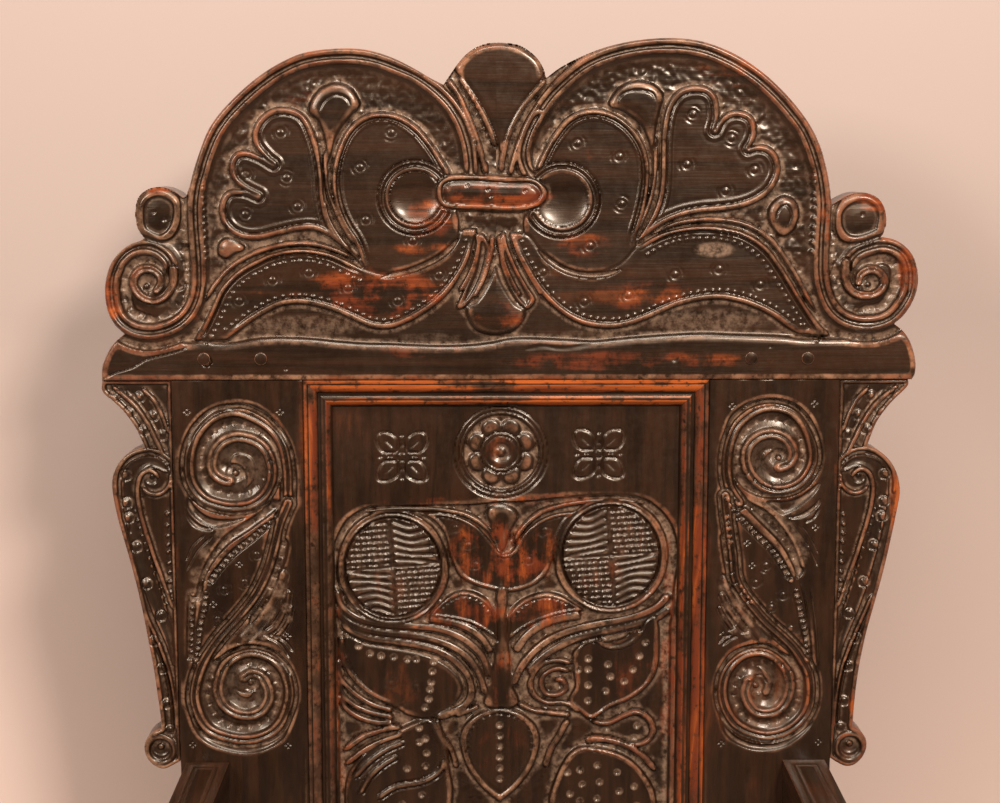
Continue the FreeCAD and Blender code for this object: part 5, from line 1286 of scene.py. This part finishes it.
def carve_post(face, cuts):
    for centre, wide, high, hollow in cuts["rounds"]:
        face.shape(ring_line(centre, wide, high), VOLUTE_FLOOR)
    face.shape(ring_through(cuts["stem"]), [(0, -0.8), (1.5, -2.2), (4, -3.4)], wall=0.8)
    face.vein(line_through(cuts["channel"]), 5.0, 3.0, 0.06)
    for line in cuts["beads"]:
        face.vein(line_through(line), 3.4, 2.3, 0.06)
    for line in cuts["stem_edges"]:
        face.rib(line_through(line), 1.6, 0.1, -2.6, 0.03)
    for line, half in cuts["flutes"]:
        face.flute(line_through(line), 1.25 * half)
    for line in cuts["arcs"]:
        face.vein(line_through(line), 1.5, 1.6)
    for cord, (centre, wide, high, hollow) in zip(cuts["cords"], cuts["rounds"]):
        face.run(line_through(cord), VOLUTE_CORD)
        face.run(line_through(cord), DISHED_CORD, outline=ring_line(centre, wide + 2, high + 2))
    for line in cuts["slopes"]:
        face.vein(shifted(line_through(line), math.copysign(2.8, line[0][0] - line[-1][0])), 3.2, 2.6, 0.2)
    for line in cuts["low_slopes"]:
        face.vein(shifted(line_through(line), 2.8), 3.2, 2.6, 0.2)
    for scoop in cuts["scoops"]:
        face.shape(ring_through(scoop), [(0, -0.4), (1.2, -1.6), (3, -2.8)], wall=0.8)
    for line in cuts["lines"]:
        face.vein(line_through(line), 1.2, 1.3)
    for line, radius in zip(cuts["beads"], (1.9, 1.8, 1.6, 1.6)):
        face.pearls(line_through(line), 5.2, radius, 1.9)
    for centre, wide, high, hollow in cuts["rounds"]:
        face.crescents(ring_line(centre, wide * 0.76, high * 0.76, 30, 380), 8.0, 2.7, 0.8)
        face.dome(hollow, 7.5, -1.9)
        face.dome(hollow, 2.5, 2.4)
    face.crescents(line_through(cuts["channel"]), 9.0, 3.0, 0.8)
    face.crescents(line_through(cuts["stem"][:7]) + (4.5 if cuts["stem"][0][0] < 0 else -4.5, -2.5), 9.0, 2.4, 0.6)
    face.eyes(cuts["eyes"], 5.4, 0.6)
    # pale dust in the volute channels; on the stems and flutes the pale patches are also a painted highlight
    face.settle(*((*centre, 0.8 * wide, 0.8 * high, 0.40) for centre, wide, high, hollow in cuts["rounds"]),
                *((*spot, 8, 8, 0.55) for spot in cuts["stem"][1:7]),
                *((*spot, 2 * half, 2 * half, 0.6) for line, half in cuts["flutes"] for spot in line[1:4]))
    side = math.copysign(1, cuts["corners"][0][0])
    face.rub((side * 160, -90, 2, 160, 0.4), (side * 214, -140, 20, 30, 0.3), (side * 184, -186, 12, 22, 0.35),
             (side * 208, -250, 34, 34, 0.2), (side * 258, -160, 2, 150, 0.45))
    for across, up in cuts["corners"]:
        for corner in ((0, 1.9), (0, -1.9), (1.9, 0), (-1.9, 0)):
            face.dome((across + corner[0], up + corner[1]), 1.15, -1.1)


def eased_block(bm, ease, segments=2):
    """Rounds a block's sharp outer edges, and marks the middle of each rounding as worn: bare wood and, in the oak
    finish, a painted highlight.
    """
    worn, bare = (bm.verts.layers.float.get(word) or bm.verts.layers.float.new(word) for word in ("worn", "bare"))
    sharp = [edge for edge in bm.edges
             if len(edge.link_faces) == 2 and edge.calc_face_angle_signed() > math.radians(CORNER_ANGLE)]
    made = bmesh.ops.bevel(bm, geom=sharp, offset=ease, offset_type="OFFSET", segments=segments, profile=0.5,
                           affect="EDGES", clamp_overlap=True, material=-1)
    rounded = set(made["faces"])
    for vert in {vert for cell in rounded for vert in cell.verts}:
        if all(cell in rounded for cell in vert.link_faces):
            vert[worn], vert[bare] = 1.0, CORNER_BARE
    bmesh.ops.recalc_face_normals(bm, faces=bm.faces)


def prism_between(bm, outline, low, high):
    """A block drawn out along X from its (y, z) side view, in metres."""
    bottom = bm.faces.new([bm.verts.new((low, y, z)) for y, z in outline])
    grown = bmesh.ops.extrude_face_region(bm, geom=[bottom])
    bmesh.ops.translate(bm, verts=grown_parts(grown, bmesh.types.BMVert), vec=(high - low, 0, 0))
    bmesh.ops.recalc_face_normals(bm, faces=bm.faces)


POST_PITCH = 0.72
post_oak = waxed_oak("post_oak", "Z")
for side, word, cuts in ((1, "right", RIGHT_POST_CARVING), (-1, "left", LEFT_POST_CARVING)):
    across = np.linspace(POST_INNER, POST_OUTER, round((POST_OUTER - POST_INNER) / POST_PITCH) + 1)
    if side < 0:
        across = -across[::-1]
    up = np.concatenate([[POST_FOOT, -500, -450, -400, -350, -320], np.arange(-305, 0.01, POST_PITCH), [0.0]])
    post_face = CarvedFace(across, np.unique(up), 11 + side)
    carve_post(post_face, cuts)
    post_face.roughen(0.08, 0.0, -9.0)
    post_edge = np.array([(side * POST_INNER, POST_FOOT), (side * POST_OUTER, POST_FOOT), (side * POST_OUTER, 0.0),
                          (side * POST_INNER, 0.0)])
    post_face.ease_edge(post_edge + [(0, 0), (0, 0), (0, 9), (0, 9)], POST_EASE)
    carved_board(f"{word}_back_post_upper", post_face, post_edge, POST_THICKNESS, post_oak, f"{word}_back_post",
                 edge=0.0, back_ease=POST_EASE)
    bm = bmesh.new()
    back_y = BEND_Y + POST_THICKNESS / 1000
    prism_between(bm, [(BEND_Y, 0.0), (BEND_Y, BEND_Z), (back_y, POST_BACK_BEND), (back_y, 0.0)],
                  *sorted((side * POST_INNER / 1000, side * POST_OUTER / 1000)))
    eased_block(bm, POST_EASE / 1000)
    new_piece(f"{word}_back_post_lower", bm, post_oak, f"{word}_back_post")

# Ears.
# A scrolled board nailed to the outer edge of each post under the crest's end, carved with an S-leaf above,
# a small volute, and a long tapering leaf that ends in a curl.
EAR_FRONT, EAR_THICKNESS = 4.0, 28.0
EAR_INNER, EAR_OUTER, EAR_FOOT, EAR_TOP = 259.4, 315.2, -315.5, 0.9
RIGHT_EAR = [
    (260.2, -307), (260.2, -307), (260.2, 0), (260.2, 0), (314, 0), (314, 0), (313.5, -6), (301, -19), (291, -33),
    (285.5, -47), (283.5, -53), (283.5, -53), (293, -57), (302, -65), (308, -76), (310.5, -90), (308, -108),
    (305, -125), (301, -146), (296.5, -166), (291.5, -186), (287, -205), (283, -227), (280.5, -247), (279, -266),
    (278.5, -282), (278.5, -282), (284, -285), (289, -291), (290, -299), (287, -307), (281, -313), (274, -314.5),
    (267, -311.5),
]
LEFT_EAR = [
    (260.2, -307), (260.2, -307), (260.2, 0), (260.2, 0), (314, 0), (314, 0), (314, -9), (305, -17.5), (297, -26),
    (289, -38), (284.5, -48), (282.5, -53), (282.5, -53), (291, -55.5), (299, -60.5), (305, -68.5), (308.5, -78),
    (308.5, -90), (305, -110), (300.5, -128), (296, -146), (291.5, -166), (287.5, -187), (284, -208), (280.5, -230),
    (278, -252), (276, -270), (275.5, -281), (275.5, -281), (282, -284), (288, -290), (289.5, -298), (287, -306),
    (281, -312), (274, -314), (267, -311),
]


def carve_ear(face, side, outline):
    def turned(marks):
        return [(side * across, up) for across, up in marks]

    def marked(marks, closed=False):
        return line_through(turned(marks), closed=closed)

    face.shape(outline, [(0, 0.0), (2.4, -0.2), (4.2, -2.2), (8, -3.0)], wall=0.2)
    # upper S: two ridges, with circled dots beside them
    face.rib(marked([(307, -4), (299, -11), (290, -19), (282, -30), (276, -42), (270, -55), (267, -62)]), 2.1, 0.3,
             -3.0, 0.05)
    face.rib(marked([(284, -6), (275, -15), (270, -24), (266, -34), (263.5, -44)]), 1.8, 0.1, -3.0, 0.1)
    face.vein(marked([(296, -6), (287, -17), (279, -29), (272, -42)]), 1.6, 0.9)
    face.circled(turned([(304, -12), (293, -25), (282.5, -39), (286, -13), (276, -28), (268.5, -43)]), 4.3)
    # the long leaf's outer band, hooked over into a curl
    face.rib(marked([(262, -66), (266, -60), (275, -55.5), (286, -55.5), (296, -60.5), (303, -69), (306, -80),
                     (305.5, -92)]), 1.8, 0.2, -3.0, 0.05)
    face.shape(marked([
        (263, -72), (272, -62), (284, -61), (296, -67), (301, -80), (300, -100), (296, -125), (290, -150),
        (284, -172), (277, -192), (270, -210), (264, -228), (264, -200), (270, -180), (277, -155), (283, -130),
        (287, -108), (289, -90), (286, -76), (278, -69), (268, -72)
    ], closed=True), [(0, -1.0), (2, -2.4), (5, -3.2)], wall=1.2)
    inner = marked([(272, -78), (276, -72.5), (281, -71.5), (286.5, -76), (289, -86), (288, -100), (285, -114),
                    (281, -128), (277, -142), (272, -157), (267, -172), (263, -184)])
    face.rib(inner, 2.0, 0.3, -3.0, 0.03)
    face.rib(marked([(286, -84), (281, -89), (274, -90.5), (267, -87), (263, -80), (264, -74)]), 2.0, 0.2, -3.2, 0.1)
    face.dome((side * 278, -78), 5.0, -1.4)
    face.dome((side * 277.5, -76.5), 2.2, 2.0)
    face.pearls(shifted(inner, 4.4 * side)[len(inner) // 3:], 6.5, 1.5, 1.2)
    face.pearls(marked([(266.5, -104), (267, -121), (266.5, -140), (266, -170)]), 7.6, 1.9, 1.6)
    face.pearls(marked([(268, -62), (264, -72), (262.5, -90)]), 4.2, 1.2, 0.9)
    # second ridge, which runs down beside the edge to the foot
    second = marked([(291, -172), (284, -190), (277, -207), (271, -224), (266.5, -241), (264, -262), (263, -285)])
    face.rib(second, 1.7, 0.3, -3.0, 0.05)
    face.rib(shifted(second, 3.2 * side), 1.1, -0.4, -3.0, 0.1)
    face.circled(turned([(298, -75), (298, -97), (297, -109), (291, -132), (284, -162), (273, -188), (279.5, -208),
                         (274, -231), (271, -260), (269, -282)]), 4.4)
    face.vein(marked([(295, -113), (296, -122)]), 1.2, 0.8)
    face.rub((side * 306, -86, 4, 40, 0.6), (side * 288, -180, 5, 30, 0.5), (side * 277, -256, 3, 16, 0.7),
             (side * 292, -19, 12, 12, 0.4))
    # foot curl
    foot = (side * 276.5, -298.5)
    face.shape(ring_line(foot, 12.8, 12.8), [(0, -0.6), (1.8, 0.0), (3.2, -0.6), (5, -2.6), (8, -2.0)], wall=1.0)
    face.dome((foot[0], foot[1] + 2), 7.0, -1.8)
    face.dome((foot[0], foot[1] + 2.5), 2.6, 2.4)


EAR_PITCH = 0.62
ear_oak = waxed_oak("ear_oak", "Z")
for side, word, marks in ((1, "right", RIGHT_EAR), (-1, "left", LEFT_EAR)):
    ear_edge = ring_through([(side * across, up) for across, up in marks])
    low, high = sorted((side * EAR_INNER, side * EAR_OUTER))
    ear_face = CarvedFace(np.arange(low, high, EAR_PITCH), np.arange(EAR_FOOT, EAR_TOP, EAR_PITCH), 21 + side)
    carve_ear(ear_face, side, ear_edge)
    ear_face.roughen(0.07, 0.0, -9.0)
    ear_face.ease_edge(ear_edge, 1.8)
    carved_board(f"{word}_ear_carved", ear_face, ear_edge, EAR_THICKNESS, ear_oak, f"{word}_ear",
                 front=EAR_FRONT, edge=1.6, back_ease=1.2)

# Mouldings round the panel.
# Four mitred oak strips, planed to a fillet, a round and a bead and nailed on; their proud edges are worn red and
# given a painted highlight.
MOULDING_FINISH = dict(rub_spots=0.30, dust=0, polish_and_highlight=0.35)
# in from the edge, into the back from its front plane, wear (which also paints a highlight)
MOULDING_SECTION = [
    (0.0, 13.0, 0), (0.0, 1.7, 0.4), (0.7, 1.0, 1.0), (2.6, 1.0, 0.6), (3.2, 1.5, 0.5), (3.3, 2.4, 0.0),
    (4.2, 2.2, 0.9), (5.8, 2.5, 1.0), (7.6, 3.4, 1.0), (9.2, 4.9, 0.9), (10.3, 6.6, 0.5), (10.8, 8.2, 0.0),
    (12.0, 8.5, 0.0), (13.0, 8.1, 0.0), (13.2, 6.4, 0.3), (13.9, 6.0, 0.6), (16.0, 6.0, 0.2), (17.4, 6.2, 0.9),
    (18.2, 7.0, 1.0), (19.6, 8.4, 0.7), (20.8, 10.2, 0.4), (21.6, 11.6, 0.1), (22.0, 13.0, 0),
]


def mitred_strip(name, across, up, start, stop, inward, finish, rubbed):
    """A strip from one mitred corner to the next. across and up say which way it runs, inward where the panel is."""
    bm = bmesh.new()
    worn, bare = (bm.verts.layers.float.new(word) for word in ("worn", "bare"))
    ends = []
    for corner, turn in ((start, 1), (stop, -1)):
        ring = []
        for inset, into, wear in MOULDING_SECTION:
            spot = np.array(corner, float) + inset * (np.array(inward) + turn * np.array([across, up]))
            vert = bm.verts.new(on_back(spot[0], spot[1], into).tolist())
            # the worn mark also paints a highlight on the strip's proud points
            vert[worn], vert[bare] = wear, rubbed * wear
            ring.append(vert)
        ends.append(bm.faces.new(ring))
    bmesh.ops.bridge_loops(bm, edges=[edge for end in ends for edge in end.edges])
    bmesh.ops.recalc_face_normals(bm, faces=bm.faces)
    new_piece(name + "_strip", bm, finish, name, sharp=38)


wide_oak = waxed_oak("moulding_oak_across", "X", rub=1.0, amber=0.30, **MOULDING_FINISH)
tall_oak = waxed_oak("moulding_oak_upright", "Z", rub=0.6, **MOULDING_FINISH)
mitred_strip("panel_moulding_top", 1, 0, (-PANEL_SIDE, 0), (PANEL_SIDE, 0), (0, -1), wide_oak, 1.5)
mitred_strip("panel_moulding_bottom", 1, 0, (-PANEL_SIDE, PANEL_LOW), (PANEL_SIDE, PANEL_LOW), (0, 1), wide_oak, 0.9)
mitred_strip("panel_moulding_left", 0, 1, (-PANEL_SIDE, PANEL_LOW), (-PANEL_SIDE, 0), (1, 0), tall_oak, 0.7)
mitred_strip("panel_moulding_right", 0, 1, (PANEL_SIDE, PANEL_LOW), (PANEL_SIDE, 0), (-1, 0), tall_oak, 1.05)

# Pegs and nails.
# Riven oak pegs driven through the joints and rubbed flush, and round wrought iron nails driven into the ears and
# on below the face of the wood.
ROUND_STEPS = 20
NAIL_DRIVEN = 0.0085
HEAD_EASE = 0.0007
SAME_SPOT = 1e-6
# a head faces out to its side, or else the front, or else up
HEAD_FACING = (1.0, -0.1, 0.01)
BLACK_IRON = (0.016, 0.013, 0.012, 1.0)
RUSTY_IRON = (0.075, 0.030, 0.015, 1.0)
IRON_METAL, DENT_STRENGTH, DENT_DEPTH = 0.6, 0.4, 0.0008
# scale, detail, roughness
HAMMERED, RUST = (260.0, 3.0, 0.6), (520.0, 4.0, 0.7)


def forged_iron(name):
    """Hammered iron gone black under the wax, with brown rust in its hollows."""
    finish, tree, shader, place = new_finish(name)
    hammered, rust = noise(tree, place, HAMMERED), noise(tree, place, RUST)
    bump = linked(tree, "ShaderNodeBump", Strength=DENT_STRENGTH, Distance=DENT_DEPTH,
                  Height=hammered).outputs[0]
    shader.inputs["Metallic"].default_value = IRON_METAL
    tree.links.new(mixed(tree, stepped(tree, rust, 0.48, 0.66), BLACK_IRON, RUSTY_IRON), shader.inputs["Base Color"])
    tree.links.new(plus(tree, 0.30, times(tree, rust, 0.45)), shader.inputs["Roughness"])
    tree.links.new(bump, shader.inputs["Normal"])
    return finish


def joined_copy(name, gap):
    """The frame's own solid in place, with its loose triangles joined."""
    node = frame["nodes"][name]
    bm = bmesh.new()
    bm.from_mesh(node.data)
    bm.transform(node.matrix_world)
    bmesh.ops.remove_doubles(bm, verts=bm.verts, dist=gap)
    return bm


def separate_solids(bm):
    """The places of each solid's points in a mesh of many, sorted, so that every run is the same."""
    waiting = set(bm.verts)
    for first in bm.verts:
        reached, places = [first] if first in waiting else [], []
        waiting -= set(reached)
        while reached:
            vert = reached.pop()
            places.append(tuple(vert.co))
            found = {edge.other_vert(vert) for edge in vert.link_edges} & waiting
            waiting -= found
            reached += found
        if places:
            yield np.array(sorted(places))


def round_pegs(name, finish, driven=0.0):
    """Stands a round rod in each place where the frame has a peg or a nail. driven is how far its head is sunk, in
    metres."""
    source, bm = joined_copy(name, SAME_SPOT), bmesh.new()
    for spots in separate_solids(source):
        middle = spots.mean(axis=0)
        axis = Vector(np.linalg.svd(spots - middle)[2][0])
        if axis.dot(Vector((math.copysign(HEAD_FACING[0], middle[0]), *HEAD_FACING[1:]))) < 0:
            axis = -axis
        reach = (spots - middle) @ np.array(axis)
        reach = np.minimum(reach, reach.max() - driven)
        around = np.linalg.norm(spots - middle - np.outer(reach, np.array(axis)), axis=1).max()
        grown = bmesh.ops.create_cone(bm, cap_ends=True, segments=ROUND_STEPS, radius1=around, radius2=around,
                                      depth=reach.max() - reach.min())
        middle = middle + np.array(axis) * (reach.max() + reach.min()) / 2
        turn = axis.to_track_quat("Z", "Y").to_matrix().to_4x4()
        turn.translation = Vector(middle.tolist())
        bmesh.ops.transform(bm, matrix=turn, verts=grown["verts"])
    source.free()
    bmesh.ops.recalc_face_normals(bm, faces=bm.faces)
    eased_block(bm, HEAD_EASE)
    new_piece(name + "_round", bm, finish, name)


iron = forged_iron("wrought_iron")
plain_oaks = {axis: waxed_oak(f"plain_oak_{axis}", axis, rub_spots=0.22, dust=0) for axis in "XYZ"}
for name in frame["nodes"]:
    if "nail" in name:
        round_pegs(name, iron, NAIL_DRIVEN)
    elif "peg" in name:
        round_pegs(name, plain_oaks["Y"])

# Arms, legs, rails, stretchers and seat boards.
# Plain oak members, planed and turned, their sharp edges rubbed round by use and their corners worn to bare red wood,
# with a painted highlight along the rounded edges.
# metres: how far sharp edges are rounded, how far in from the edge of an arm's top and from each other its two
# scratched lines run, and the size of their cut
PLAIN_EASE, ARM_EASE = 0.0016, 0.0030
ARM_LINES = (0.0055, 0.0030)
LINE_WIDTH, LINE_DEPTH = 0.0014, 0.0009
# the arm's top: how level a face has to be, and how large in square metres
ARM_TOP_TILT, ARM_TOP_AREA = 0.93, 2e-5


def scratched_lines(bm):
    """Two V lines run round the top of an arm with a scratch stock, one inside the other."""
    top = [cell for cell in bm.faces if cell.normal.z > ARM_TOP_TILT and cell.calc_area() > ARM_TOP_AREA]
    for inset in ARM_LINES:
        for thickness, depth in ((inset, 0.0), (LINE_WIDTH / 2, -LINE_DEPTH), (LINE_WIDTH / 2, LINE_DEPTH)):
            bmesh.ops.inset_region(bm, faces=top, thickness=thickness, depth=depth, use_even_offset=True,
                                   use_boundary=True)


def eased_copy(name, finish, ease=PLAIN_EASE, segments=2, scratched=False):
    """The frame's own member with its sharp edges rounded."""
    bm = joined_copy(name, 2 * SAME_SPOT)
    bmesh.ops.dissolve_limit(bm, angle_limit=math.radians(1.0), verts=bm.verts, edges=bm.edges)
    bmesh.ops.recalc_face_normals(bm, faces=bm.faces)
    eased_block(bm, ease, segments)
    if scratched:
        bm.normal_update()
        scratched_lines(bm)
    new_piece(name + "_eased", bm, finish, name, sharp=42)


arm_oak = waxed_oak("arm_oak", "Y", dust=0, rub_spots=0.4, tone=1.5)
seat_oak = waxed_oak("seat_oak", "X", dust=0, rub=0.6, rub_spots=0.45, gloss=0.30, tone=1.25)
made = {name for piece in bpy.data.objects for name in piece.get("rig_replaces", [])}
for name in (name for name in frame["nodes"] if name not in made):
    if name.endswith("_arm"):
        eased_copy(name, arm_oak, ARM_EASE, 4, scratched=True)
    elif "seat_board" in name:
        eased_copy(name, seat_oak)
    else:
        low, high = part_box(name)
        size = high - low
        longest = max(range(3), key=lambda index: size[index])
        eased_copy(name, plain_oaks["XYZ"[longest]])
